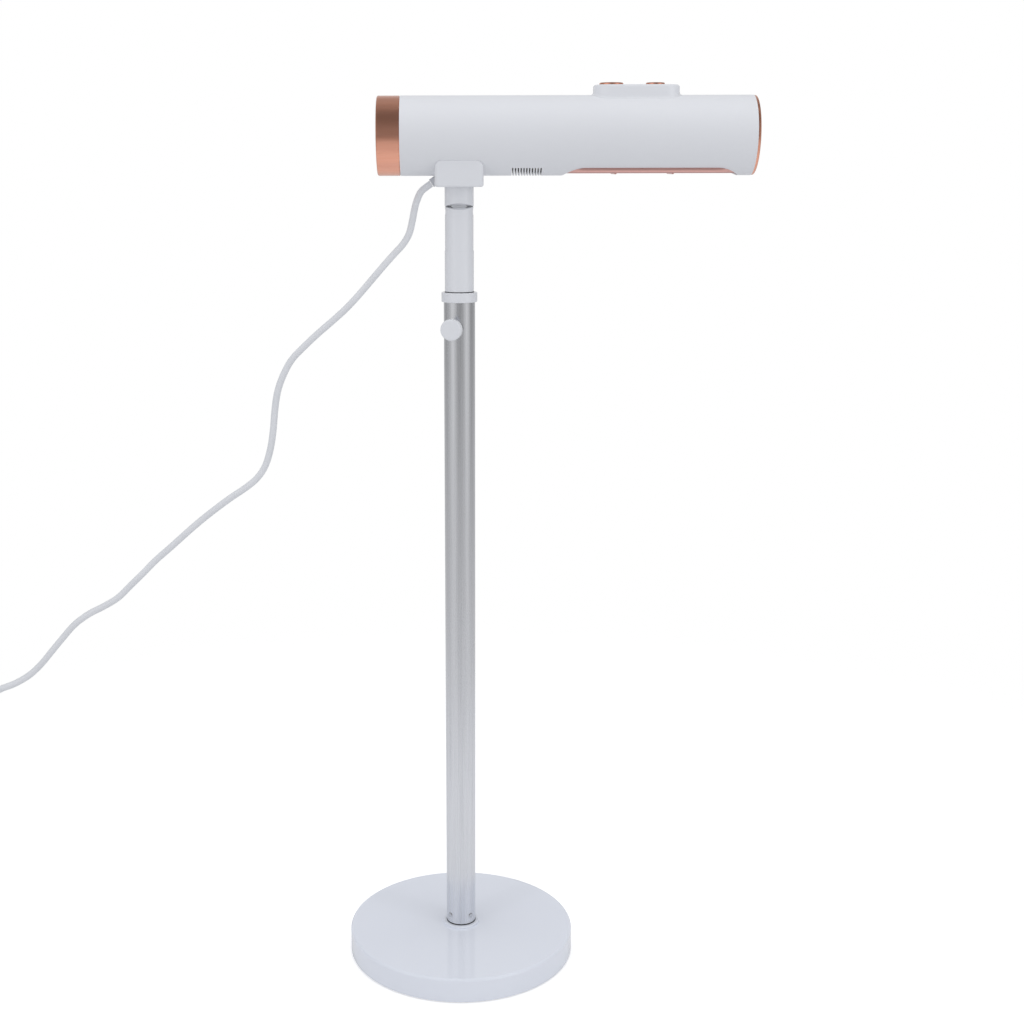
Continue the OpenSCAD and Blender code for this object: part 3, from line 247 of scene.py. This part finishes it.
gloss_white, tree, finish = shader("gloss white ABS", (0.85, 0.86, 0.885), roughness=0.2, coat=0.35)
finish.inputs["Coat Roughness"].default_value = 0.08
vary(tree, surface_noise(tree, 6), finish.inputs["Base Color"],
     (0.842, 0.852, 0.877), (0.858, 0.868, 0.893))
emboss(tree, finish, surface_noise(tree, 260, detail=2), 0.04, 0.0004)
dress(gloss_white, "collar", "inner_tube", "hinge_fitting", "hinge_knuckle", "neck",
      "power_button", "mode_button", "clamp_knob")

base_white, tree, finish = shader("base gloss white ABS", (0.895, 0.925, 1.0),
                                  roughness=0.13, coat=0.5)
finish.inputs["Coat Roughness"].default_value = 0.05
vary(tree, surface_noise(tree, 6), finish.inputs["Base Color"],
     (0.887, 0.917, 0.99), (0.903, 0.933, 1.0))
emboss(tree, finish, surface_noise(tree, 260, detail=2), 0.03, 0.0003)
dress(base_white, "base_cover", "pole_bezel")

matt_white, tree, finish = shader("matt white ABS", (0.84, 0.848, 0.87), roughness=0.46)
vary(tree, surface_noise(tree, 6), finish.inputs["Base Color"],
     (0.832, 0.84, 0.862), (0.848, 0.856, 0.878))
emboss(tree, finish, surface_noise(tree, 2600, detail=3), 0.12, 0.0002)
dress(matt_white, "barrel", "end_cap", "inner_lead")

# ---- Saddle block ----
# A glossy white ABS block with soft edges all round, fixed under the barrel. It is cut above
# to the barrel, which lies in it.

barrel_low, barrel_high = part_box("barrel")
barrel_r = (barrel_high[2] - barrel_low[2]) / 2
axis_z = (barrel_high[2] + barrel_low[2]) / 2
block_low, block_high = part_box("saddle_block")
block_z, block_top = block_low[2], block_high[2]
block_half = (block_high[0], block_high[1])
block_side_round = 0.004
block_foot_round = 0.0022
block_edge_round = 0.0009
block_top_round = 0.0065
block_sink = 0.0001
side_steps, corner_steps = 16, 8
sharp_turn = math.radians(35)


def quarter(radius, t):
    """How far a rounded edge lies back from its corner at a distance t along one side."""
    near = min(max(radius - t, 0), radius)
    return radius - math.sqrt(radius * radius - near * near)


def rounded_outline(half_x, half_y, radius):
    """Points round a rectangle with rounded corners, the same number on every side."""
    corners = []
    for k, (sx, sy) in enumerate(((1, 1), (-1, 1), (-1, -1), (1, -1))):
        mid = Vector((sx * (half_x - radius), sy * (half_y - radius)))
        turns = [math.pi / 2 * (k + i / corner_steps) for i in range(corner_steps + 1)]
        corners.append([mid + radius * Vector((math.cos(a), math.sin(a))) for a in turns])
    points = []
    for corner, following in zip(corners, corners[1:] + corners[:1]):
        points += corner
        points += [corner[-1].lerp(following[0], i / side_steps) for i in range(1, side_steps)]
    return points


def closed_loop(sheet, points):
    """Vertices and edges of a closed outline through the points."""
    corners = [sheet.verts.new(p) for p in points]
    return corners, [sheet.edges.new(ends) for ends in zip(corners, corners[1:] + corners[:1])]


def smooth_piece(name, sheet, material):
    """A piece from a finished bmesh, shaded smooth but for its sharp edges."""
    bmesh.ops.recalc_face_normals(sheet, faces=sheet.faces)
    mesh = bpy.data.meshes.new(name)
    sheet.to_mesh(mesh)
    sheet.free()
    mesh.shade_smooth()
    mesh.set_sharp_from_angle(angle=sharp_turn)
    mesh.materials.append(material)
    piece = bpy.data.objects.new(name, mesh)
    bpy.context.scene.collection.objects.link(piece)
    return piece


def extruded_loop(sheet, corners, edges, points):
    """The next ring of a shell: the loop is extruded, and each new corner goes to its point."""
    grown = bmesh.ops.extrude_edge_only(sheet, edges=edges)["geom"]
    # A new corner starts in its old corner's place, by which it is known
    fresh = {tuple(v.co): v for v in grown if isinstance(v, bmesh.types.BMVert)}
    corners = [fresh[tuple(v.co)] for v in corners]
    for corner, point in zip(corners, points):
        corner.co = point
    return corners, [e for e in grown if isinstance(e, bmesh.types.BMEdge)
                     and all(v in corners for v in e.verts)]


def skin(name, rings, material, looped=False):
    """A shell through rings of points: it has two caps, or its last ring meets its first."""
    sheet = bmesh.new()
    corners, first_edges = closed_loop(sheet, rings[0])
    edges = first_edges
    for ring in rings[1:] + rings[:1] * looped:
        corners, edges = extruded_loop(sheet, corners, edges, ring)
    if looped:
        bmesh.ops.remove_doubles(sheet, verts=sheet.verts, dist=1e-7)
    else:
        for end in (first_edges, edges):
            bmesh.ops.contextual_create(sheet, geom=end)
    return smooth_piece(name, sheet, material)


def barrel_side(y):
    """Height of the barrel's surface above or below its axis, at a distance y from it."""
    return math.sqrt(max(barrel_r * barrel_r - y * y, 0))


def block_ring(inset, lower):
    """A ring of the block's lower or upper surface, at a distance in from its sides."""
    ring = []
    for x, y in rounded_outline(*block_half, block_side_round):
        x *= 1 - inset / block_half[0]
        y *= 1 - inset / block_half[1]
        if lower:
            z = block_z + quarter(block_foot_round, inset)
        else:
            corner = quarter(block_top_round, block_half[0] - abs(x))
            z = min(block_top - corner - quarter(block_edge_round, inset),
                    axis_z - barrel_side(y) + block_sink)
        ring.append((x, y, z))
    return ring


def edge_insets(radius, steps):
    """Distances in from a side at even turns along a rounded edge."""
    return [radius * (1 - math.cos(math.pi / 2 * i / steps)) for i in range(steps + 1)]


# Rings from the middle of the foot out to the sides, and over the top edge in to the middle
foot_insets = edge_insets(block_foot_round, 6) + [0.0045, 0.009, 0.015, 0.0205]
top_insets = edge_insets(block_edge_round, 4) + [0.0018, 0.003, 0.0045, 0.0065, 0.009,
                                                 0.012, 0.015, 0.018, 0.0205]
block = skin("block_skin", [block_ring(inset, True) for inset in reversed(foot_insets)]
             + [block_ring(inset, False) for inset in top_insets], gloss_white)
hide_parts("saddle_block")
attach(block, "head")

# ---- Hinge crests ----
# Two low rounded ridges of the knuckle's own ABS, moulded across the top of its cheeks. They
# close the gap under the neck at its sides.

knuckle_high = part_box("hinge_knuckle")[1]
crest_ends = (0.0068, knuckle_high[0] - 0.0005)
crest_z = knuckle_high[2] - 0.0001
crest_half, crest_rise, crest_foot = 0.0016, 0.0007, 0.001
crest_steps = 8


def crest_ring(x):
    """The outline of a ridge at x, whose foot is sunk in the knuckle."""
    ring = []
    for i in range(crest_steps + 1):
        a = math.pi * i / crest_steps
        sunk = crest_foot if i in (0, crest_steps) else 0
        ring.append((x, crest_half * math.cos(a), crest_z - sunk + crest_rise * math.sin(a)))
    return ring


for side, name in ((-1, "hinge_crest_left"), (1, "hinge_crest_right")):
    crest = skin(name, [crest_ring(side * x) for x in crest_ends], gloss_white)
    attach(crest, "mast")

# ---- Control pod ----
# A long pad with rounded ends, moulded in glossy white ABS, which holds the two buttons. It
# grows out of the barrel's top in a soft fillet.

pod_low, pod_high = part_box("control_pod")
pod_ends = (pod_low[0], pod_high[0])
pod_half, pod_z = pod_high[1], pod_high[2]
pod_top_round = 0.0022
pod_foot_round = 0.0024
pod_sink = 0.0004
slot_steps = 24


def slot_ring(ends, half, out, height_of):
    """A ring round a slot at a distance out from its wall; height_of gives z at a y."""
    ring = []
    radius = half + out
    for mid, start in ((ends[1] - half, -math.pi / 2), (ends[0] + half, math.pi / 2)):
        for i in range(slot_steps + 1):
            a = start + math.pi * i / slot_steps
            y = radius * math.sin(a)
            ring.append((mid + radius * math.cos(a), y, height_of(y)))
    return ring


def level(z):
    """A height that is the same all over."""
    return lambda y: z


def above_barrel(rise):
    """Heights that follow the barrel's surface."""
    return lambda y: axis_z + barrel_side(y) + rise


edge_turns = [math.pi / 2 * i / 6 for i in range(7)]
pod_rings = [slot_ring(pod_ends, pod_half, pod_foot_round, above_barrel(-pod_sink))]
pod_rings += [slot_ring(pod_ends, pod_half, pod_foot_round * (1 - math.sin(a)),
                        above_barrel(pod_foot_round * (1 - math.cos(a)))) for a in edge_turns]
pod_rings += [slot_ring(pod_ends, pod_half, -pod_top_round * (1 - math.cos(a)),
                        level(pod_z - pod_top_round * (1 - math.sin(a)))) for a in edge_turns]
pod = skin("pod_skin", pod_rings, gloss_white)
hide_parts("control_pod")
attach(pod, "head")

# ---- Rose-gold trims ----
# The intake ring, the rim at the closed end and the buttons' bezels are metal, painted rose
# gold with a fine satin grain. The outlet's frame and its dividers have a paler lacquer.

rose_gold, tree, finish = shader("satin rose gold", (0.95, 0.45, 0.31), metallic=1.0,
                                 roughness=0.26, coat=0.5)
finish.inputs["Coat Roughness"].default_value = 0.12
vary(tree, surface_noise(tree, 700, (0.05, 1, 1)), finish.inputs["Base Color"],
     (0.93, 0.43, 0.29), (0.97, 0.47, 0.33))
emboss(tree, finish, surface_noise(tree, 1800, (0.08, 1, 1)), 0.12, 0.0002)
dress(rose_gold, "intake_ring", "end_trim", "power_bezel", "mode_bezel")

rose_lacquer, tree, finish = shader("rose-gold lacquer", (0.86, 0.5, 0.45), metallic=0.75,
                                    roughness=0.34, coat=0.4)
vary(tree, surface_noise(tree, 900), finish.inputs["Base Color"],
     (0.84, 0.485, 0.435), (0.88, 0.515, 0.465))
emboss(tree, finish, surface_noise(tree, 1800), 0.1, 0.0002)
dress(rose_lacquer, "outlet_dividers")

# A bead with a shadow line above it goes round the outlet; its flat inner face meets the
# grille. Its profile gives the distance out from the outlet's wall and the height above its lip.
frame_low, frame_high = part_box("outlet_frame")
flange_w = 0.0025
outlet_ends = (frame_low[0] + flange_w, frame_high[0] - flange_w)
outlet_half = frame_high[1] - flange_w
lip_z = frame_low[2]
bead_profile = ((-0.0002, 0.0093), (-0.0004, 0.0042), (-0.0001, 0.0039), (0.0001, 0.0032),
                (0.0001, 0.0024), (-0.0002, 0.0016), (-0.0007, 0.0008), (-0.0013, 0.0002),
                (-0.0019, 0), (-0.0023, 0.0002), (-0.0024, 0.0006), (-0.0024, 0.0023),
                (-0.0013, 0.0023), (-0.0012, 0.0093))
bead = skin("outlet_bead", [slot_ring(outlet_ends, outlet_half, out, level(lip_z + rise))
                            for out, rise in bead_profile], rose_lacquer, looped=True)
# The bead's lower bevel takes a darker copy of the lacquer: painted shade, a dark line under the
# bright band
painted_shade_coat, tree, finish = shader("rose-gold painted shade line", (0.5, 0.29, 0.27), metallic=0.6,
                                 roughness=0.4)
vary(tree, surface_noise(tree, 900), finish.inputs["Base Color"],
     (0.48, 0.275, 0.255), (0.52, 0.305, 0.285))
bead.data.materials.append(painted_shade_coat)
painted_shade_z = (lip_z + 0.0002, lip_z + 0.0008)
# Faces of the lower bevel that face outward and down get the painted shade
for face in bead.data.polygons:
    outward = face.center.y * face.normal.y >= 0
    if painted_shade_z[0] < face.center.z < painted_shade_z[1] and outward and face.normal.z < 0:
        face.material_index = 1
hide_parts("outlet_frame")
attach(bead, "head")

# ---- Outer tube ----
# The pole's lower tube is drawn aluminium, 28 mm across. It is brushed along its length and
# clear anodised.

aluminium, tree, finish = shader("brushed aluminium", (0.8, 0.81, 0.84), metallic=1.0,
                                 roughness=0.24)
vary(tree, surface_noise(tree, 900, (1, 1, 0.01)), finish.inputs["Base Color"],
     (0.76, 0.77, 0.80), (0.84, 0.85, 0.88))
vary(tree, surface_noise(tree, 1400, (1, 1, 0.01)), finish.inputs["Roughness"], 0.18, 0.32)
emboss(tree, finish, surface_noise(tree, 1400, (1, 1, 0.01)), 0.1, 0.0002)
dress(aluminium, "outer_tube")

# ---- Screws and other steel ----
# Screws, pins and washers are bright or zinc-plated steel. The weight under the base's cover
# is rough cast iron.

bright_steel, tree, finish = shader("bright steel", (0.66, 0.67, 0.69), metallic=1.0,
                                    roughness=0.22)
vary(tree, surface_noise(tree, 1200), finish.inputs["Roughness"], 0.16, 0.3)
emboss(tree, finish, surface_noise(tree, 2000), 0.1, 0.0002)
dress(bright_steel, "pole_screws", "hinge_pin", "clamp_screw", "plug_pins", "thermal_fuse",
      "motor_shaft")

zinc_steel, tree, finish = shader("zinc-plated steel", (0.5, 0.51, 0.52), metallic=1.0,
                                  roughness=0.38)
vary(tree, surface_noise(tree, 160), finish.inputs["Base Color"],
     (0.44, 0.45, 0.46), (0.56, 0.57, 0.58))
emboss(tree, finish, surface_noise(tree, 900), 0.15, 0.0003)
dress(zinc_steel, "base_plate", "base_screws", "pole_spigot", "spigot_bolt", "clamp_nut",
      "hinge_screws", "friction_washers", "neck_screw", "clamp_plate", "intake_filter",
      "motor", "heater_winding", "pod_screws")

cast_iron, tree, finish = shader("cast iron", (0.14, 0.14, 0.15), metallic=0.6, roughness=0.62)
vary(tree, surface_noise(tree, 300), finish.inputs["Base Color"],
     (0.1, 0.1, 0.11), (0.2, 0.2, 0.2))
emboss(tree, finish, surface_noise(tree, 500), 0.5, 0.0006)
dress(cast_iron, "base_weight")

# ---- Black mouldings and rubber ----
# The grilles and what lies behind them are moulded in glass-filled nylon. The cord's tie and
# the foam foot pad are black rubber, and the grommet's rubber is light grey.

black_nylon, tree, finish = shader("black nylon", (0.03, 0.03, 0.033), roughness=0.5)
vary(tree, surface_noise(tree, 500), finish.inputs["Base Color"],
     (0.024, 0.024, 0.027), (0.04, 0.04, 0.043))
emboss(tree, finish, surface_noise(tree, 1500), 0.2, 0.0002)
dress(black_nylon, "glide_plug", "intake_grille", "fan_housing", "impeller", "air_guide",
      "outlet_grille", "thermostat", "clamp_pad")

black_rubber, tree, finish = shader("black rubber", (0.035, 0.035, 0.038), roughness=0.68)
vary(tree, surface_noise(tree, 300), finish.inputs["Base Color"],
     (0.028, 0.028, 0.03), (0.045, 0.045, 0.048))
emboss(tree, finish, surface_noise(tree, 1200), 0.25, 0.0003)
dress(black_rubber, "cord_tie", "base_pad")

grey_rubber, tree, finish = shader("light grey rubber", (0.62, 0.63, 0.66), roughness=0.6)
vary(tree, surface_noise(tree, 300), finish.inputs["Base Color"],
     (0.6, 0.61, 0.64), (0.64, 0.65, 0.68))
emboss(tree, finish, surface_noise(tree, 1200), 0.25, 0.0003)
dress(grey_rubber, "cord_grommet")

# ---- Seals of the two tubes ----
# Thin black rubber seal rings, whose black also paints the shade of the gaps where the tubes meet.
# One lies on the bezel round the outer tube's foot, and one lies in the collar round the inner
# tube.

outer_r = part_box("outer_tube")[1][0]
inner_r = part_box("inner_tube")[1][0]
bezel_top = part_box("pole_bezel")[1][2]
collar_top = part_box("collar")[1][2]
seal_gap = 0.00002


def spun_ring(name, profile, material, steps=96):
    """A ring spun round the pole's axis from a closed outline of radii and heights."""
    sheet = bmesh.new()
    corners, outline = closed_loop(sheet, [(r, 0, z) for r, z in profile])
    bmesh.ops.spin(sheet, geom=corners + outline, cent=(0, 0, 0), axis=(0, 0, 1),
                   dvec=(0, 0, 0), angle=2 * math.pi, steps=steps, use_merge=True)
    return smooth_piece(name, sheet, material)


def seal_profile(tube_r, wide, crown, seat, low, shoulder, top):
    """A seal's outline: a wall on the tube, and a slanted crown; heights are from its seat."""
    return ((tube_r + seal_gap, seat + low), (tube_r + wide, seat + low),
            (tube_r + wide, seat + shoulder), (tube_r + crown, seat + top),
            (tube_r + seal_gap, seat + top))


# Both rings' black stands in for painted shade in the gaps at the tubes' joins
foot_seal_painted_shade = spun_ring("foot_seal_painted_shade", seal_profile(
    outer_r, 0.0002, 0.00012, bezel_top, low=-0.001, shoulder=0.0008, top=0.0011), black_rubber)
collar_seal_painted_shade = spun_ring("collar_seal_painted_shade", seal_profile(
    inner_r, 0.00016, 0.0001, collar_top, low=-0.0004, shoulder=0.0005, top=0.0007), black_rubber)
for seal in (foot_seal_painted_shade, collar_seal_painted_shade):
    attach(seal, "stand")

# ---- Heater's mica and the switch board ----
# Mottled mica sheet carries the heater's winding and shields the barrel from it. A green
# circuit board with the two switches sits in the pod.

mica_sheet, tree, finish = shader("mica sheet", (0.5, 0.44, 0.33), roughness=0.55)
vary(tree, surface_noise(tree, 220), finish.inputs["Base Color"],
     (0.42, 0.36, 0.26), (0.62, 0.56, 0.44))
emboss(tree, finish, surface_noise(tree, 400), 0.2, 0.0003)
dress(mica_sheet, "heater_frame", "heat_shield")

circuit_board, tree, finish = shader("circuit board", (0.05, 0.2, 0.1), roughness=0.4)
vary(tree, surface_noise(tree, 600), finish.inputs["Base Color"],
     (0.04, 0.17, 0.08), (0.07, 0.24, 0.12))
dress(circuit_board, "switch_board")

# ---- Plug ----
# The two-pin plug's body is white PVC, moulded over its pins and the end of the cord.
# It has a finer grain than the cord.

plug_pvc, tree, finish = shader("white plug PVC", (0.82, 0.83, 0.85), roughness=0.35)
vary(tree, surface_noise(tree, 40), finish.inputs["Base Color"],
     (0.80, 0.81, 0.83), (0.85, 0.86, 0.88))
emboss(tree, finish, surface_noise(tree, 1500), 0.15, 0.0002)
dress(plug_pvc, "plug_body")

# ---- Floor and light ----
# A white studio: a round floor that keeps the shadow and fades into white surroundings, a
# soft box above, and walls whose light and dark panels show in the bare metal.

floor_r = 1.6
floor_fade = (0.3, 1.1)
floor_glow = 0.5
floor_in_metal = 0.24

floor_mesh = bpy.data.meshes.new("floor")
sheet = bmesh.new()
bmesh.ops.create_circle(sheet, cap_ends=True, segments=64, radius=floor_r)
sheet.to_mesh(floor_mesh)
sheet.free()
floor = bpy.data.objects.new("floor", floor_mesh)
bpy.context.scene.collection.objects.link(floor)
floor_white, tree, finish = shader("floor", (0.8, 0.8, 0.8), roughness=1.0, specular=0.0)


def node_of(kind, **settings):
    """A node of the tree in hand with its operation, data type or the like set."""
    made = tree.nodes.new(kind)
    for name, value in settings.items():
        setattr(made, name, value)
    return made


floor_ray = node_of("ShaderNodeLightPath")
seen = node_of("ShaderNodeMath", operation="MULTIPLY_ADD")
seen.inputs[1].default_value = floor_in_metal
strength = node_of("ShaderNodeMath", operation="MULTIPLY")
strength.inputs[1].default_value = floor_glow
glow = node_of("ShaderNodeEmission")
glow.inputs["Color"].default_value = (1, 1, 1, 1)
both = node_of("ShaderNodeAddShader")
tree.links.new(floor_ray.outputs["Is Glossy Ray"], seen.inputs[0])
tree.links.new(floor_ray.outputs["Is Camera Ray"], seen.inputs[2])
tree.links.new(seen.outputs["Value"], strength.inputs[0])
tree.links.new(strength.outputs["Value"], glow.inputs["Strength"])
tree.links.new(finish.outputs["BSDF"], both.inputs[0])
tree.links.new(glow.outputs["Emission"], both.inputs[1])
spot = node_of("ShaderNodeTexCoord")
reach = node_of("ShaderNodeVectorMath", operation="LENGTH")
fade = node_of("ShaderNodeMapRange", interpolation_type="SMOOTHSTEP")
fade.inputs["From Min"].default_value = floor_fade[0]
fade.inputs["From Max"].default_value = floor_fade[1]
clear = node_of("ShaderNodeBsdfTransparent")
edge = node_of("ShaderNodeMixShader")
tree.links.new(spot.outputs["Object"], reach.inputs[0])
tree.links.new(reach.outputs["Value"], fade.inputs["Value"])
tree.links.new(fade.outputs["Result"], edge.inputs["Fac"])
tree.links.new(both.outputs["Shader"], edge.inputs[1])
tree.links.new(clear.outputs["BSDF"], edge.inputs[2])
tree.links.new(edge.outputs["Shader"], tree.nodes["Material Output"].inputs["Surface"])
floor_mesh.materials.append(floor_white)

# What lights the object, and what bare metal mirrors under the walls' panels
room_light = (0.60, 0.61, 0.64, 1)
wall_foot = (0.62, 0.62, 0.63, 1)
wall_foot_z = (-0.05, -0.35)

world = bpy.data.worlds.new("studio")
bpy.context.scene.world = world
world.use_nodes = True
tree = world.node_tree
tree.nodes.clear()


def levels_by(fac, low, high, levels):
    """Grey levels along a number that runs from low to high."""
    share = node_of("ShaderNodeMapRange")
    share.inputs["From Min"].default_value = low
    share.inputs["From Max"].default_value = high
    ramp = node_of("ShaderNodeValToRGB")
    stops = ramp.color_ramp.elements
    while len(stops) < len(levels):
        stops.new(0.5)
    for stop, (at, value) in zip(stops, levels):
        stop.position = (at - low) / (high - low)
    for stop, (at, value) in zip(stops, levels):
        stop.color = (value, value, value, 1)
    tree.links.new(fac, share.inputs["Value"])
    tree.links.new(share.outputs["Result"], ramp.inputs["Fac"])
    return ramp.outputs["Color"]


around = node_of("ShaderNodeTexCoord")
split = node_of("ShaderNodeSeparateXYZ")
forward = node_of("ShaderNodeMath", operation="MULTIPLY")
forward.inputs[1].default_value = -1
azimuth = node_of("ShaderNodeMath", operation="ARCTAN2")
degrees = node_of("ShaderNodeMath", operation="DEGREES")
tree.links.new(around.outputs["Generated"], split.inputs["Vector"])
tree.links.new(split.outputs["Y"], forward.inputs[0])
tree.links.new(split.outputs["X"], azimuth.inputs[0])
tree.links.new(forward.outputs["Value"], azimuth.inputs[1])
tree.links.new(azimuth.outputs["Value"], degrees.inputs[0])
# Panels of the walls by the angle from the front, and how they fade overhead and underfoot
panels = levels_by(degrees.outputs["Value"], -180, 180, (
    (-180, 0.8), (-150, 0.6), (-118, 0.34), (-88, 0.4), (-64, 0.8), (-44, 0.9),
    (-26, 0.52), (-8, 0.25), (12, 0.25), (34, 0.5), (50, 0.86), (64, 0.8),
    (84, 0.36), (104, 0.26), (130, 0.45), (160, 0.7), (180, 0.8)))
height = levels_by(split.outputs["Z"], -1, 1, (
    (-1, 0.62), (-0.3, 0.66), (0.2, 1.0), (0.5, 0.72), (0.8, 0.5), (1, 0.55)))
shade = node_of("ShaderNodeMix", data_type="RGBA", blend_type="MULTIPLY")
shade.inputs["Factor"].default_value = 1
under = node_of("ShaderNodeMapRange")
under.inputs["From Min"].default_value = wall_foot_z[0]
under.inputs["From Max"].default_value = wall_foot_z[1]
low_wall = node_of("ShaderNodeMix", data_type="RGBA")
low_wall.inputs["B"].default_value = wall_foot
tree.links.new(panels, shade.inputs["A"])
tree.links.new(height, shade.inputs["B"])
tree.links.new(split.outputs["Z"], under.inputs["Value"])
tree.links.new(under.outputs["Result"], low_wall.inputs["Factor"])
tree.links.new(shade.outputs["Result"], low_wall.inputs["A"])
ray = node_of("ShaderNodeLightPath")
plain = node_of("ShaderNodeMath", operation="MAXIMUM")
lit = node_of("ShaderNodeMix", data_type="RGBA")
lit.inputs["A"].default_value = room_light
shown = node_of("ShaderNodeMix", data_type="RGBA")
shown.inputs["B"].default_value = (1, 1, 1, 1)
background = node_of("ShaderNodeBackground")
output = node_of("ShaderNodeOutputWorld")
tree.links.new(ray.outputs["Is Glossy Ray"], lit.inputs["Factor"])
tree.links.new(low_wall.outputs["Result"], lit.inputs["B"])
tree.links.new(ray.outputs["Is Camera Ray"], plain.inputs[0])
tree.links.new(ray.outputs["Is Transmission Ray"], plain.inputs[1])
tree.links.new(plain.outputs["Value"], shown.inputs["Factor"])
tree.links.new(lit.outputs["Result"], shown.inputs["A"])
tree.links.new(shown.outputs["Result"], background.inputs["Color"])
tree.links.new(background.outputs["Background"], output.inputs["Surface"])


def soft_box(name, place, aim, width, height, power):
    """A rectangular lamp at place that faces aim, and lights without showing in the metal."""
    lamp = bpy.data.lights.new(name, "AREA")
    lamp.shape = "RECTANGLE"
    lamp.size = width
    lamp.size_y = height
    lamp.energy = power
    box = bpy.data.objects.new(name, lamp)
    bpy.context.scene.collection.objects.link(box)
    box.location = place
    box.rotation_euler = (Vector(aim) - Vector(place)).to_track_quat("-Z", "Y").to_euler()
    box.visible_glossy = False


soft_box("soft box above", (0.05, -0.35, 2.3), (0.05, 0, 0.6), 2.2, 1.6, 9)
soft_box("soft box right", (1.35, -0.95, 0.75), (0, 0, 0.5), 0.22, 1.7, 3)
soft_box("soft box left", (-1.25, -1.3, 0.75), (0, 0, 0.5), 0.22, 1.7, 3)

bpy.context.scene.view_settings.view_transform = "Standard"
